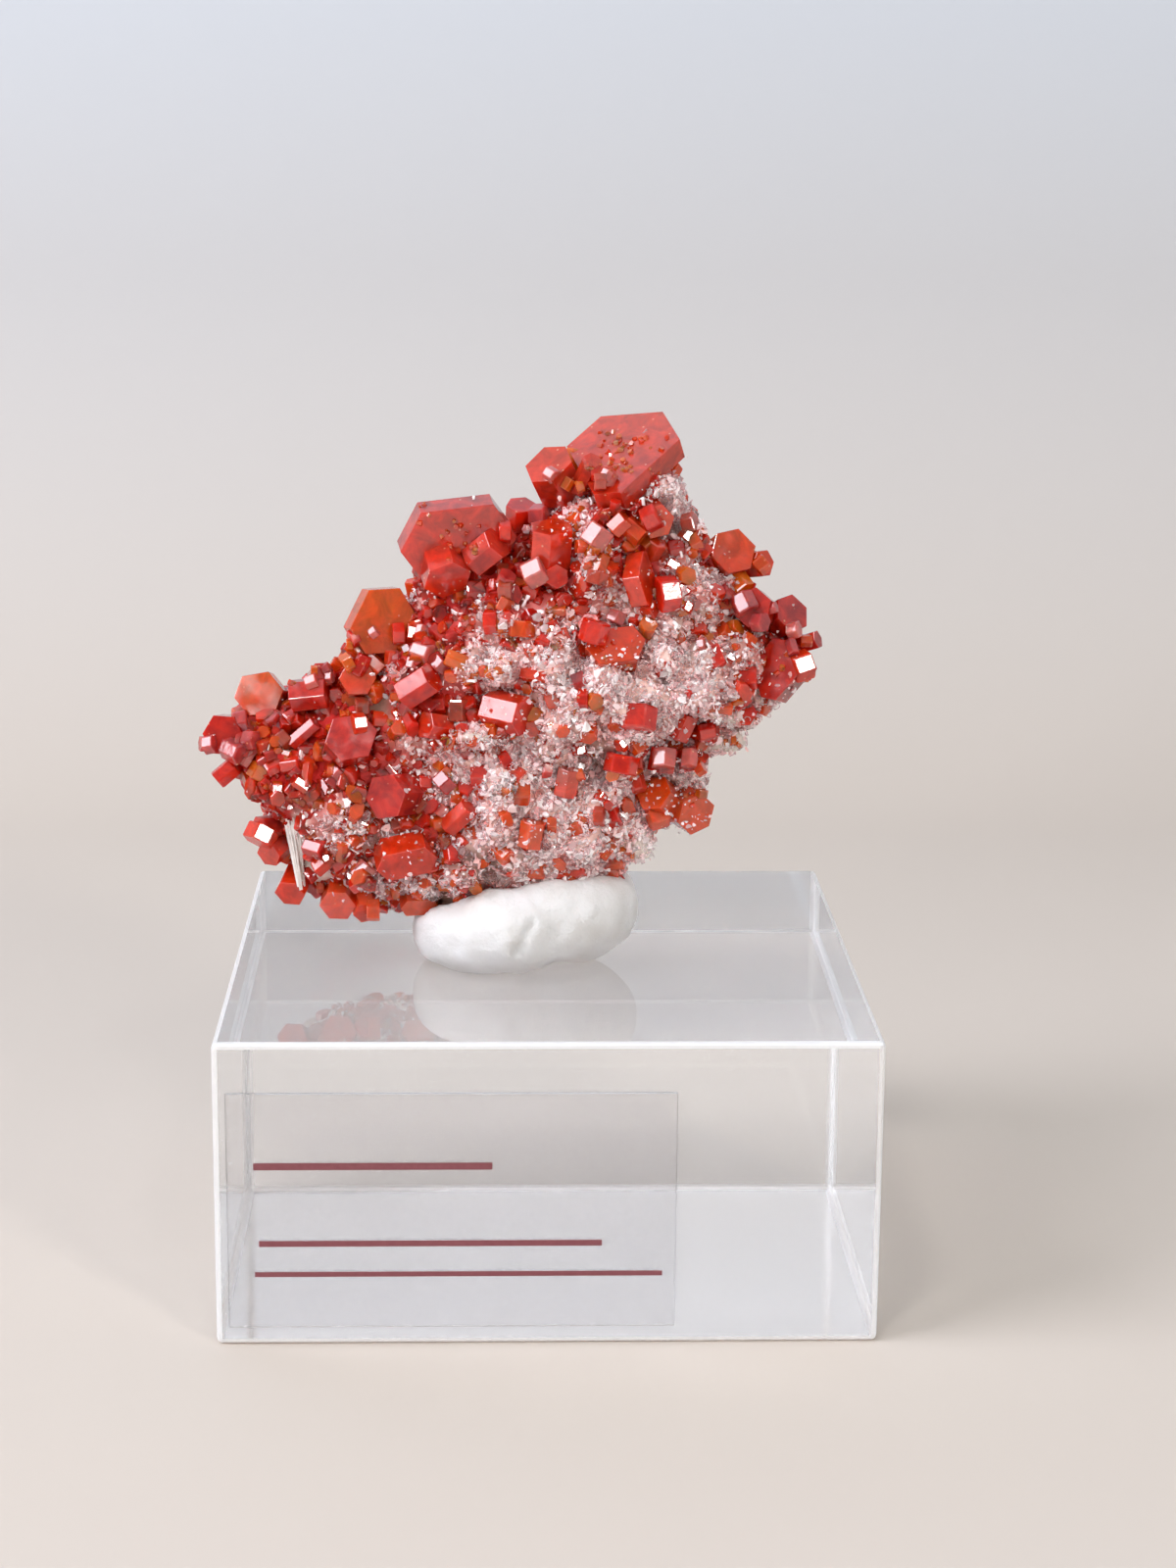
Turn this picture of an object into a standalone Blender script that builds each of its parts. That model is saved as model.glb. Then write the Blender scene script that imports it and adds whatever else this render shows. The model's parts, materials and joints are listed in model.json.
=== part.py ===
"""Vanadinite on matrix, fixed with white putty on a clear acrylic display block.

The pieces are modelled in millimetres round the middle of the block's underside
(+X right, +Y back, +Z up) and scaled to metres at the end.
"""

import math
import random
from collections import namedtuple

import bmesh
import bpy
from mathutils import Matrix, Vector, noise
from mathutils.bvhtree import BVHTree

METRE = 0.001  # one millimetre in metres
FIT_GAP = 0.3  # clearance between a piece and the one it is set in
SEED = 41

# Display block and its label
BLOCK_SIDE = 45.0
BLOCK_HEIGHT = 21.4
BLOCK_CHAMFER = 0.4
LABEL_LEFT, LABEL_RIGHT = -21.6, 8.6
LABEL_BOTTOM, LABEL_TOP = 1.3, 18.0
LABEL_THICKNESS = 0.15
LABEL_GLUE = 0.05

# Places on the specimen are read on an upright plane at its front, from EYE,
# and carried along the sight line to the depth where the thing itself lies.
EYE = Vector((-4.2, -214.1, 84.2))
FRONT = -6.0

# The specimen's body: an upright slab, thick in the middle and thin at the rim
MIDDLE = -1.4
FRONT_BULGE = 5.6
BACK_BULGE = 5.4
RIM_SHARE = 0.4
RIM_ROUND = 6.5
BODY_VOXEL = 0.8
BODY_TRIANGLES = 1700
BODY_OUTLINE = [
    (-22.4, 38.0), (-21.4, 40.0), (-19.6, 41.4), (-17.4, 41.8), (-15.0, 42.6),
    (-13.6, 44.4), (-12.6, 46.2), (-10.6, 47.4), (-9.4, 48.4), (-8.8, 50.2),
    (-7.0, 51.8), (-3.8, 52.4), (-2.2, 53.6), (0.4, 54.6), (1.6, 57.2),
    (3.6, 58.8), (7.2, 59.2), (8.8, 57.0), (9.8, 53.6), (11.6, 51.6),
    (13.6, 50.6), (13.4, 49.2), (15.6, 47.2), (17.0, 45.8), (17.2, 44.2),
    (17.0, 42.4), (15.2, 40.8), (13.2, 39.0), (10.8, 38.0), (11.0, 35.4),
    (10.2, 33.6), (8.0, 32.8), (6.2, 31.2), (5.2, 28.6), (4.0, 26.2),
    (1.0, 24.8), (-4.0, 24.6), (-7.4, 25.4), (-9.6, 26.8), (-12.4, 26.8),
    (-15.2, 27.4), (-17.4, 28.4), (-18.6, 30.2), (-19.2, 32.6), (-19.6, 34.8),
    (-21.2, 36.4),
]
# Lumps (+) and hollows (-) of the front: x, z, half width, half height, rise
RELIEF = [
    (4.0, 42.7, 2.2, 1.8, 1.3),
    (-5.3, 38.7, 2.6, 0.8, 1.3),
    (-4.5, 37.4, 3.0, 0.8, -1.2),
    (-7.0, 47.4, 1.8, 2.0, -1.8),
    (-11.4, 41.2, 1.2, 1.6, -1.2),
    (3.6, 37.2, 1.2, 2.6, -1.3),
    (-14.0, 32.0, 2.6, 1.8, -1.3),
    (-16.8, 37.6, 1.6, 2.4, -1.2),
    (11.0, 46.8, 2.4, 2.0, -1.1),
    (-2.0, 32.0, 3.5, 2.5, 0.9),
    (-9.6, 30.4, 2.4, 1.8, 0.9),
    (7.6, 48.6, 2.0, 3.0, 0.8),
    (4.4, 56.0, 3.4, 2.4, 2.4),
    (-2.6, 50.0, 3.2, 2.4, 0.9),
]
# The crust of grown-together crystals parts from the bare rock on this sheet
CRUST_RIM_DEPTH = -1.3
CRUST_MIDDLE_DEPTH = -3.6
SHEET_CENTRE = (-2.0, 41.0)
SHEET_HALF = 26.0
SHEET_STEPS = 10
SHEET_FRONT = -30.0

# Roughness of the body: size of the lumps and how far they push
COARSE_LUMP, COARSE_PUSH = 5.0, 0.9
FINE_LUMP, FINE_PUSH = 2.1, 0.5
RIM_CALM = 0.4  # share of the roughness left at the rim

# Small crystals grown into the crust
SMALL_CRYSTALS = 78
SMALL_REACH = (0.55, 1.15)
SMALL_LENGTH = (1.6, 2.8)
SMALL_SPACING = 1.7
SMALL_X, SMALL_Z = (-23.0, 17.0), (26.0, 56.0)
SMALL_TURN = 45.0  # degrees that a small crystal leans sideways from the surface
SMALL_LIFT = (-20.0, 50.0)
MOST_TRIES = 5000

# Putty lobes: centre x, y, z and half sizes
PUTTY_BASE = BLOCK_HEIGHT + FIT_GAP
PUTTY_LOBES = [
    ((-4.6, -2.8, 23.9), (4.9, 6.6, 3.1)),
    ((-2.2, -3.4, 24.4), (5.0, 6.9, 3.4)),
    ((1.6, -2.6, 25.2), (5.0, 6.6, 3.9)),
]
PUTTY_LUMP, PUTTY_PUSH = 6.0, 0.5
PUTTY_VOXEL = 0.6
PUTTY_TRIANGLES = 700

ACRYLIC = (0.9, 0.93, 0.95)
FILM = (0.85, 0.85, 0.84)
CHALK = (0.83, 0.83, 0.82)
ROCK = (0.72, 0.62, 0.54)
CRUST = (0.6, 0.16, 0.12)
RED = (0.42, 0.012, 0.006)
ORANGE = (0.62, 0.09, 0.02)
AMBER = (0.66, 0.2, 0.03)
CORAL = (0.55, 0.1, 0.07)

# A hexagonal crystal: centre read at the front plane, depth of its centre (None is on
# the crust), heading and lift of its long axis, roll round it, distance from the axis
# to its six sides (one number, or six from 30 degrees on), and length.
Crystal = namedtuple("Crystal", "x z depth heading lift roll reach length")

# Each row is one solid: a crystal, or several that have grown together.
CRYSTALS = {
    "summit_crystal": (CORAL, [
        Crystal(5.5, 58.2, -3.2, -30, 57, 12, (3.8, 4.3, 4.5, 3.4, 4.5, 2.8), 1.6),
        Crystal(2.6, 57.2, -5.0, 30, 50, 20, 0.6, 3.0),
        Crystal(3.9, 56.9, -5.6, 10, 20, 0, 0.7, 1.8),
        Crystal(0.5, 57.1, -3.6, -30, 48, 8, (1.5, 1.5, 1.4, 1.6, 1.7, 1.5), 2.8),
    ]),
    "shoulder_crystal": (RED, [
        Crystal(-6.5, 53.0, -4.9, 10, -17, 6, (3.6, 2.4, 3.2, 3.6, 3.2, 3.9), 1.8),
        Crystal(-7.2, 50.7, -5.5, 15, -35, 25, 1.5, 2.6),
        Crystal(-4.3, 51.8, -5.8, 60, 38, 8, 1.1, 2.4),
    ]),
    "amber_crystal": (AMBER, [
        Crystal(-11.8, 47.5, -4.3, 22, 5, 0, (2.1, 1.7, 1.6, 2.5, 2.8, 2.2), 1.5),
        Crystal(-12.7, 44.4, -4.9, 78, -42, 0, 0.6, 3.0),
        Crystal(-13.3, 42.7, -5.0, 5, 20, 0, 1.15, 2.0),
    ]),
    "ridge_crystal": (RED, [
        Crystal(-1.9, 54.2, -2.4, 5, 66, 8, 0.95, 2.2),
        Crystal(-0.5, 54.1, -2.2, -30, 30, 0, 0.7, 2.2),
    ]),
    "upper_middle_crystal": (RED, [
        Crystal(0.2, 52.0, -6.0, 12, 76, 22, (1.5, 1.3, 1.4, 1.5, 1.3, 1.4), 3.4),
        Crystal(0.5, 50.0, -6.8, 10, 15, 28, 0.75, 1.8),
    ]),
    "crown_twin_crystal": (ORANGE, [
        Crystal(5.0, 53.8, -7.0, 74, 44, 6, 0.66, 1.3),
        Crystal(6.0, 53.3, -6.8, 68, -36, 4, 0.7, 1.6),
        Crystal(7.4, 54.2, -5.9, 10, -8, 14, 1.1, 1.8),
    ]),
    "leaning_crystal": (ORANGE, [
        Crystal(6.4, 49.9, -7.2, 62, 12, -12, (1.2, 1.9, 1.2, 1.2, 1.9, 1.2), 1.3),
    ]),
    "upper_right_crystal": (ORANGE, [
        Crystal(12.6, 51.6, -2.6, 15, 25, 10, 1.5, 2.4),
        Crystal(14.2, 51.0, -2.0, 40, 10, 0, 0.9, 2.6),
    ]),
    "right_tip_crystal": (RED, [
        Crystal(16.4, 43.5, -4.4, -26, 16, -6, (1.6, 2.1, 1.6, 1.6, 2.2, 1.6), 2.2),
        Crystal(17.8, 43.7, -4.2, -38, 22, 12, 0.85, 1.6),
        Crystal(18.0, 45.4, -3.2, 62, 20, 0, 0.6, 2.4),
    ]),
    "right_dark_crystal": (RED, [
        Crystal(16.7, 47.3, -3.4, 34, 28, 10, 1.25, 1.7),
        Crystal(14.6, 47.8, -4.4, -20, 18, 24, 1.25, 2.2),
    ]),
    "right_edge_crystal": (CORAL, [
        Crystal(13.5, 40.3, -4.2, -5, 20, 0, (1.2, 0.9, 1.2, 1.2, 0.9, 1.2), 2.0),
    ]),
    "right_middle_crystal": (RED, [
        Crystal(9.7, 39.5, -5.6, 70, 66, 6, 0.75, 2.0),
        Crystal(11.0, 39.1, -4.9, 66, -8, 0, 0.6, 2.2),
    ]),
    "right_block_crystal": (RED, [
        Crystal(8.2, 37.1, -5.9, 84, 80, 4, 0.95, 1.7),
        Crystal(10.0, 37.1, -5.5, 84, -78, -4, 0.72, 1.6),
    ]),
    "lower_right_crystal": (ORANGE, [
        Crystal(8.2, 34.1, -5.2, -36, 34, 10, 1.2, 2.6),
        Crystal(10.1, 33.4, -4.6, 28, -6, 18, 1.35, 2.2),
    ]),
    "round_crystal": (CORAL, [
        Crystal(4.7, 44.9, None, 0, 35, 8, (1.9, 1.2, 1.8, 1.8, 1.4, 1.9), 2.2),
        Crystal(3.2, 46.4, None, -20, 30, 0, 0.75, 2.0),
    ]),
    "centre_crystal": (CORAL, [
        Crystal(-2.8, 40.4, None, 54, -4, 10, 1.25, 3.0),
    ]),
    "upright_rod_crystal": (CORAL, [
        Crystal(1.5, 35.4, None, 80, 80, 4, 0.8, 2.0),
    ]),
    "lower_centre_crystal": (ORANGE, [
        Crystal(-1.0, 31.6, None, 80, 82, -4, 0.85, 1.9),
    ]),
    "wing_amber_crystal": (AMBER, [
        Crystal(-20.0, 41.4, -2.5, -10, 16, 12, (1.7, 1.7, 1.7, 1.4, 1.2, 1.5), 1.6),
    ]),
    "wing_block_crystal": (RED, [
        Crystal(-16.6, 41.7, -4.2, 80, 8, 0, 1.05, 2.6),
        Crystal(-15.9, 42.8, -3.4, 20, 30, 0, 0.85, 2.0),
    ]),
    "wing_tip_crystal": (RED, [
        Crystal(-22.4, 38.8, -3.4, -18, 8, 0, 1.35, 1.8),
        Crystal(-22.0, 36.6, -3.8, -70, -40, 0, 0.5, 3.0),
        Crystal(-23.5, 38.1, -2.9, -72, 5, 0, 0.5, 1.8),
        Crystal(-21.2, 38.0, -4.3, 15, 20, 18, 0.9, 2.0),
    ]),
    "pink_rod_crystal": (CORAL, [
        Crystal(-17.1, 38.9, -5.1, 82, 42, 0, 0.5, 2.4),
    ]),
    "wing_hexagon_crystal": (CORAL, [
        Crystal(-13.8, 38.4, None, 6, 28, 10, (1.7, 1.5, 1.6, 1.7, 1.6, 1.6), 1.9),
    ]),
    "left_pink_hexagon": (CORAL, [
        Crystal(-10.7, 34.4, None, -34, 8, 14, (1.5, 1.45, 1.5, 1.5, 1.5, 1.5), 2.4),
    ]),
    "left_middle_crystal": (CORAL, [
        Crystal(-7.8, 39.4, None, -54, 14, 4, 0.9, 1.9),
    ]),
    "left_upper_crystal": (RED, [
        Crystal(-9.0, 42.3, None, 68, 34, 8, 1.05, 2.6),
    ]),
    "rhomb_crystal": (ORANGE, [
        Crystal(-6.2, 32.8, None, 72, 44, 4, 0.75, 2.3),
    ]),
    "foot_slab_crystal": (CORAL, [
        Crystal(-10.0, 30.0, None, 10, -25, 12, (1.9, 1.2, 1.9, 1.9, 1.2, 1.9), 2.0),
    ]),
    "foot_left_crystal": (ORANGE, [
        Crystal(-14.7, 26.9, -4.4, -5, -20, 0, 1.15, 2.0),
        Crystal(-12.9, 26.6, -4.4, 15, -30, 10, 0.9, 2.2),
    ]),
    "foot_corner_crystal": (ORANGE, [
        Crystal(-17.9, 27.9, -3.6, -15, -25, 0, 1.0, 2.2),
    ]),
    "left_mirror_crystal": (CORAL, [
        Crystal(-19.7, 31.9, -3.7, -46, 4, 0, (0.9, 0.95, 0.9, 0.9, 0.95, 0.9), 1.6),
        Crystal(-19.2, 30.5, -3.8, -30, -15, 0, 0.85, 1.8),
    ]),
    "foot_salmon_crystal": (CORAL, [
        Crystal(-9.1, 26.8, -4.6, 10, -28, 0, (1.2, 0.75, 1.2, 1.2, 0.75, 1.2), 1.9),
    ]),
}


def clear_scene():
    """Start from an empty scene."""
    for thing in list(bpy.data.objects):
        bpy.data.objects.remove(thing, do_unlink=True)


def seen_at(x, z, depth):
    """Carry a place read on the front plane along its sight line to a depth."""
    on_plane = Vector((x, FRONT, z))
    share = (depth - EYE.y) / (FRONT - EYE.y)
    return EYE + (on_plane - EYE) * share


def new_piece(name, form):
    """Turn a bmesh into an object and free it."""
    mesh = bpy.data.meshes.new(name)
    form.to_mesh(mesh)
    form.free()
    piece = bpy.data.objects.new(name, mesh)
    bpy.context.collection.objects.link(piece)
    return piece


def apply_modifiers(piece):
    """Bake the piece's modifiers into its mesh."""
    graph = bpy.context.evaluated_depsgraph_get()
    shaped = bpy.data.meshes.new_from_object(piece.evaluated_get(graph))
    piece.modifiers.clear()
    piece.data = shaped


def combine(piece, other, operation, keep_other=False):
    """Join the piece with another, cut the other out, or keep what they share."""
    step = piece.modifiers.new("combine", "BOOLEAN")
    step.operation = operation
    step.solver = "EXACT"
    step.object = other
    apply_modifiers(piece)
    if not keep_other:
        bpy.data.objects.remove(other, do_unlink=True)


def remesh(piece, voxel):
    """Merge overlapping forms into one even skin."""
    step = piece.modifiers.new("merge", "REMESH")
    step.mode = "VOXEL"
    step.voxel_size = voxel
    apply_modifiers(piece)


def decimate(piece, triangles):
    """Reduce the skin to about this many triangles."""
    step = piece.modifiers.new("reduce", "DECIMATE")
    step.use_collapse_triangulate = True
    step.ratio = triangles / (2 * len(piece.data.polygons))
    apply_modifiers(piece)


def is_one_closed_body(piece):
    """Say whether the mesh is closed and hangs together."""
    form = bmesh.new()
    form.from_mesh(piece.data)
    closed = all(edge.is_manifold for edge in form.edges)
    reached = {form.verts[:][0]}
    waiting = [form.verts[:][0]]
    while waiting:
        for edge in waiting.pop().link_edges:
            for vertex in edge.verts:
                if vertex not in reached:
                    reached.add(vertex)
                    waiting.append(vertex)
    whole = closed and len(reached) == len(form.verts)
    form.free()
    return whole


def uneven(place, size):
    """A smooth, irregular shift whose lumps are about this size."""
    return Vector([noise.noise(place / size + Vector((7.3, 2.9, 5.1)) * axis) for axis in range(3)])


def smooth_rise(share):
    """Go from 0 to 1 as share does, steeply first and level at the end."""
    return math.sin(min(max(share, 0.0), 1.0) * math.pi / 2)


# ---------------------------------------------------------------- block and label


def make_block():
    """The polished acrylic block with its chamfered edges."""
    form = bmesh.new()
    bmesh.ops.create_cube(form, size=1.0)
    bmesh.ops.scale(form, vec=(BLOCK_SIDE, BLOCK_SIDE, BLOCK_HEIGHT), verts=form.verts)
    bmesh.ops.translate(form, vec=(0, 0, BLOCK_HEIGHT / 2), verts=form.verts)
    bmesh.ops.bevel(
        form, geom=form.edges[:], affect="EDGES", offset=BLOCK_CHAMFER, segments=1,
        profile=0.5, material=-1,
    )
    return new_piece("display_block", form)


def make_label():
    """The clear printed film on the block's front face."""
    form = bmesh.new()
    bmesh.ops.create_cube(form, size=1.0)
    size = (LABEL_RIGHT - LABEL_LEFT, LABEL_THICKNESS, LABEL_TOP - LABEL_BOTTOM)
    front = -BLOCK_SIDE / 2 - LABEL_GLUE - LABEL_THICKNESS / 2
    centre = ((LABEL_LEFT + LABEL_RIGHT) / 2, front, (LABEL_BOTTOM + LABEL_TOP) / 2)
    bmesh.ops.scale(form, vec=size, verts=form.verts)
    bmesh.ops.translate(form, vec=centre, verts=form.verts)
    return new_piece("label_film", form)


# ---------------------------------------------------------------- specimen body


def body_outline():
    """The body's outline carried to the depth of its rim."""
    return [seen_at(x, z, MIDDLE) for x, z in BODY_OUTLINE]


def distance_inside(x, z, outline):
    """How far a place is from the nearest side of the outline."""
    place = Vector((x, z))
    nearest = math.inf
    for here, after in zip(outline, outline[1:] + outline[:1]):
        start = Vector((here.x, here.z))
        side = Vector((after.x, after.z)) - start
        along = min(max((place - start).dot(side) / side.length_squared, 0.0), 1.0)
        nearest = min(nearest, (place - start - side * along).length)
    return nearest


def relief(x, z):
    """The front's lumps and hollows."""
    rise = 0.0
    for lump_x, lump_z, half_width, half_height, height in RELIEF:
        lump = seen_at(lump_x, lump_z, MIDDLE - FRONT_BULGE)
        across = (x - lump.x) / half_width
        upright = (z - lump.z) / half_height
        rise += height * math.exp(-(across * across + upright * upright))
    return rise


def shape_body(piece, outline):
    """Round the slab towards its rim and roughen it like broken, overgrown rock."""
    for vertex in piece.data.vertices:
        place = vertex.co
        inside = smooth_rise(distance_inside(place.x, place.z, outline) / RIM_ROUND)
        share = RIM_SHARE + (1.0 - RIM_SHARE) * inside
        depth = (place.y - MIDDLE) * share
        if depth < 0:
            depth -= relief(place.x, place.z) * inside
        rough = uneven(place, COARSE_LUMP) * COARSE_PUSH + uneven(place, FINE_LUMP) * FINE_PUSH
        rough *= RIM_CALM + (1.0 - RIM_CALM) * inside
        vertex.co = Vector((place.x, MIDDLE + depth, place.z)) + rough


def make_body():
    """The whole specimen before its crust parts from the rock."""
    outline = body_outline()
    form = bmesh.new()
    front = MIDDLE - FRONT_BULGE
    ring = [form.verts.new((place.x, front, place.z)) for place in outline]
    face = form.faces.new(ring)
    slab = bmesh.ops.extrude_face_region(form, geom=[face])
    back = [item for item in slab["geom"] if isinstance(item, bmesh.types.BMVert)]
    bmesh.ops.translate(form, vec=(0, FRONT_BULGE + BACK_BULGE, 0), verts=back)
    bmesh.ops.recalc_face_normals(form, faces=form.faces)
    body = new_piece("body", form)
    remesh(body, BODY_VOXEL)
    shape_body(body, outline)
    decimate(body, BODY_TRIANGLES)
    return body


def make_parting_block(shift):
    """A block in front of the crust's back, moved by shift along Y."""
    outline = body_outline()
    form = bmesh.new()
    bmesh.ops.create_grid(
        form, x_segments=SHEET_STEPS, y_segments=SHEET_STEPS, size=SHEET_HALF)
    for vertex in form.verts:
        x, z = vertex.co.x + SHEET_CENTRE[0], vertex.co.y + SHEET_CENTRE[1]
        inside = smooth_rise(distance_inside(x, z, outline) / RIM_ROUND)
        depth = CRUST_RIM_DEPTH + (CRUST_MIDDLE_DEPTH - CRUST_RIM_DEPTH) * inside
        vertex.co = Vector((x, depth + shift, z))
    bmesh.ops.triangulate(form, faces=form.faces[:])
    slab = bmesh.ops.extrude_face_region(form, geom=form.faces[:])
    for item in slab["geom"]:
        if isinstance(item, bmesh.types.BMVert):
            item.co.y = SHEET_FRONT
    bmesh.ops.recalc_face_normals(form, faces=form.faces)
    return new_piece("parting_block", form)


def copy_of(piece, name):
    """A second object with its own copy of the mesh."""
    double = bpy.data.objects.new(name, piece.data.copy())
    bpy.context.collection.objects.link(double)
    return double


def swollen(piece, by):
    """A copy of the piece grown outwards by this much."""
    double = copy_of(piece, "swollen")
    form = bmesh.new()
    form.from_mesh(double.data)
    form.normal_update()
    grown = [vertex.co + vertex.normal * by * vertex.calc_shell_factor() for vertex in form.verts]
    for vertex, place in zip(form.verts, grown):
        vertex.co = place
    form.to_mesh(double.data)
    form.free()
    remesh(double, BODY_VOXEL)
    decimate(double, BODY_TRIANGLES)
    return double


# ---------------------------------------------------------------- crystals


def crystal_axes(crystal):
    """The long axis and the two directions across it."""
    heading = math.radians(crystal.heading)
    lift = math.radians(crystal.lift)
    roll = math.radians(crystal.roll)
    axis = Vector((
        math.sin(heading) * math.cos(lift),
        -math.cos(heading) * math.cos(lift),
        math.sin(lift),
    ))
    level = Vector((math.cos(heading), math.sin(heading), 0.0))
    upright = level.cross(axis) * -1.0
    across = level * math.cos(roll) + upright * math.sin(roll)
    return axis, across, axis.cross(across)


def hexagon(reach):
    """Corners of a hexagon with 120 degree corners and its sides at these distances."""
    sides = [reach] * 6 if isinstance(reach, (int, float)) else list(reach)
    corners = []
    for index in range(6):
        here, after = sides[index], sides[(index + 1) % 6]
        turn = math.radians(30 + 60 * index)
        along = (after - here * math.cos(math.radians(60))) / math.sin(math.radians(60))
        corners.append((
            here * math.cos(turn) - along * math.sin(turn),
            here * math.sin(turn) + along * math.cos(turn),
        ))
    return corners


def crystal_place(crystal, crust):
    """The crystal's centre, on the crust where the row gives no depth."""
    if crystal.depth is not None:
        return seen_at(crystal.x, crystal.z, crystal.depth)
    sight = (Vector((crystal.x, FRONT, crystal.z)) - EYE).normalized()
    hit = crust.ray_cast(EYE, sight)[0]
    return hit - sight * crystal.length * 0.15


def prism(crystal, centre, grow=0.0):
    """The crystal's hexagonal prism, grown on every side by grow."""
    axis, across, upright = crystal_axes(crystal)
    reach = crystal.reach
    if isinstance(reach, (int, float)):
        reach = [reach] * 6
    corners = hexagon([side + grow for side in reach])
    form = bmesh.new()
    half = crystal.length / 2 + grow
    ring = [
        form.verts.new(centre - axis * half + across * u + upright * v)
        for u, v in corners
    ]
    face = form.faces.new(ring)
    column = bmesh.ops.extrude_face_region(form, geom=[face])
    top = [item for item in column["geom"] if isinstance(item, bmesh.types.BMVert)]
    bmesh.ops.translate(form, vec=axis * half * 2, verts=top)
    bmesh.ops.recalc_face_normals(form, faces=form.faces)
    return new_piece("prism", form)


def make_cluster(name, crystals, places, grow=0.0):
    """One solid of crystals that have grown together."""
    cluster = prism(crystals[0], places[0], grow)
    for crystal, place in zip(crystals[1:], places[1:]):
        combine(cluster, prism(crystal, place, grow), "UNION")
    cluster.name = name
    return cluster


def tree_of(piece):
    """The piece's faces, for asking what they touch."""
    form = bmesh.new()
    form.from_mesh(piece.data)
    tree = BVHTree.FromBMesh(form)
    form.free()
    return tree


def grow_small_crystals(crust, skin, putty_skin, socket_skins):
    """Fuse small crystals into the crust, clear of the large ones and of the putty."""
    chance = random.Random(SEED)
    outline = body_outline()
    grown = []
    tries = 0
    while len(grown) < SMALL_CRYSTALS and tries < MOST_TRIES:
        tries += 1
        x, z = chance.uniform(*SMALL_X), chance.uniform(*SMALL_Z)
        sight = (Vector((x, FRONT, z)) - EYE).normalized()
        hit, normal, _, _ = skin.ray_cast(EYE, sight)
        if hit is None or distance_inside(hit.x, hit.z, outline) < SMALL_REACH[0]:
            continue
        if putty_skin.ray_cast(EYE, sight)[0] is not None:
            continue
        if any((hit - other).length < SMALL_SPACING for other in grown):
            continue
        heading = math.degrees(math.atan2(normal.x, -normal.y))
        heading += chance.uniform(-SMALL_TURN, SMALL_TURN)
        lift = math.degrees(math.asin(normal.z)) + chance.uniform(*SMALL_LIFT)
        small = Crystal(
            x, z, None, heading, lift, chance.uniform(0, 60),
            chance.uniform(*SMALL_REACH), chance.uniform(*SMALL_LENGTH),
        )
        seed_crystal = prism(small, hit)
        wide = prism(small, hit, FIT_GAP)
        blocked = any(tree.overlap(tree_of(wide)) for tree in [putty_skin, *socket_skins])
        bpy.data.objects.remove(wide, do_unlink=True)
        if blocked:
            bpy.data.objects.remove(seed_crystal, do_unlink=True)
            continue
        before = crust.data.copy()
        combine(crust, seed_crystal, "UNION")
        if is_one_closed_body(crust):
            grown.append(hit)
        else:
            crust.data = before
    print("small crystals grown:", len(grown), "after", tries, "tries")


# ---------------------------------------------------------------- putty


def make_putty():
    """The kneaded lump: two rounded lobes pressed flat on the block."""
    form = bmesh.new()
    for centre, halves in PUTTY_LOBES:
        lobe = bmesh.ops.create_icosphere(form, subdivisions=4, radius=1.0)["verts"]
        bmesh.ops.scale(form, vec=halves, verts=lobe)
        bmesh.ops.translate(form, vec=centre, verts=lobe)
    putty = new_piece("mounting_putty", form)
    remesh(putty, PUTTY_VOXEL)
    for vertex in putty.data.vertices:
        vertex.co += uneven(vertex.co, PUTTY_LUMP) * PUTTY_PUSH
    decimate(putty, PUTTY_TRIANGLES)
    form = bmesh.new()
    form.from_mesh(putty.data)
    cut = bmesh.ops.bisect_plane(
        form, geom=form.verts[:] + form.edges[:] + form.faces[:],
        plane_co=(0, 0, PUTTY_BASE), plane_no=(0, 0, -1), clear_outer=True,
    )
    rim = [item for item in cut["geom_cut"] if isinstance(item, bmesh.types.BMEdge)]
    bmesh.ops.holes_fill(form, edges=rim)
    bmesh.ops.recalc_face_normals(form, faces=form.faces)
    form.to_mesh(putty.data)
    form.free()
    return putty


# ---------------------------------------------------------------- finishing


def finish(piece, colour, roughness, smooth=False):
    """Give the piece its material and bring it to metres."""
    material = bpy.data.materials.new(piece.name)
    material.use_nodes = True
    shader = material.node_tree.nodes["Principled BSDF"]
    shader.inputs["Base Color"].default_value = (*colour, 1.0)
    shader.inputs["Roughness"].default_value = roughness
    shader.inputs["Metallic"].default_value = 0.0
    piece.data.materials.clear()
    piece.data.materials.append(material)
    piece.data.transform(Matrix.Scale(METRE, 4))
    if smooth:
        piece.data.shade_smooth()
        piece.data.set_sharp_from_angle(angle=math.radians(50))


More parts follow.
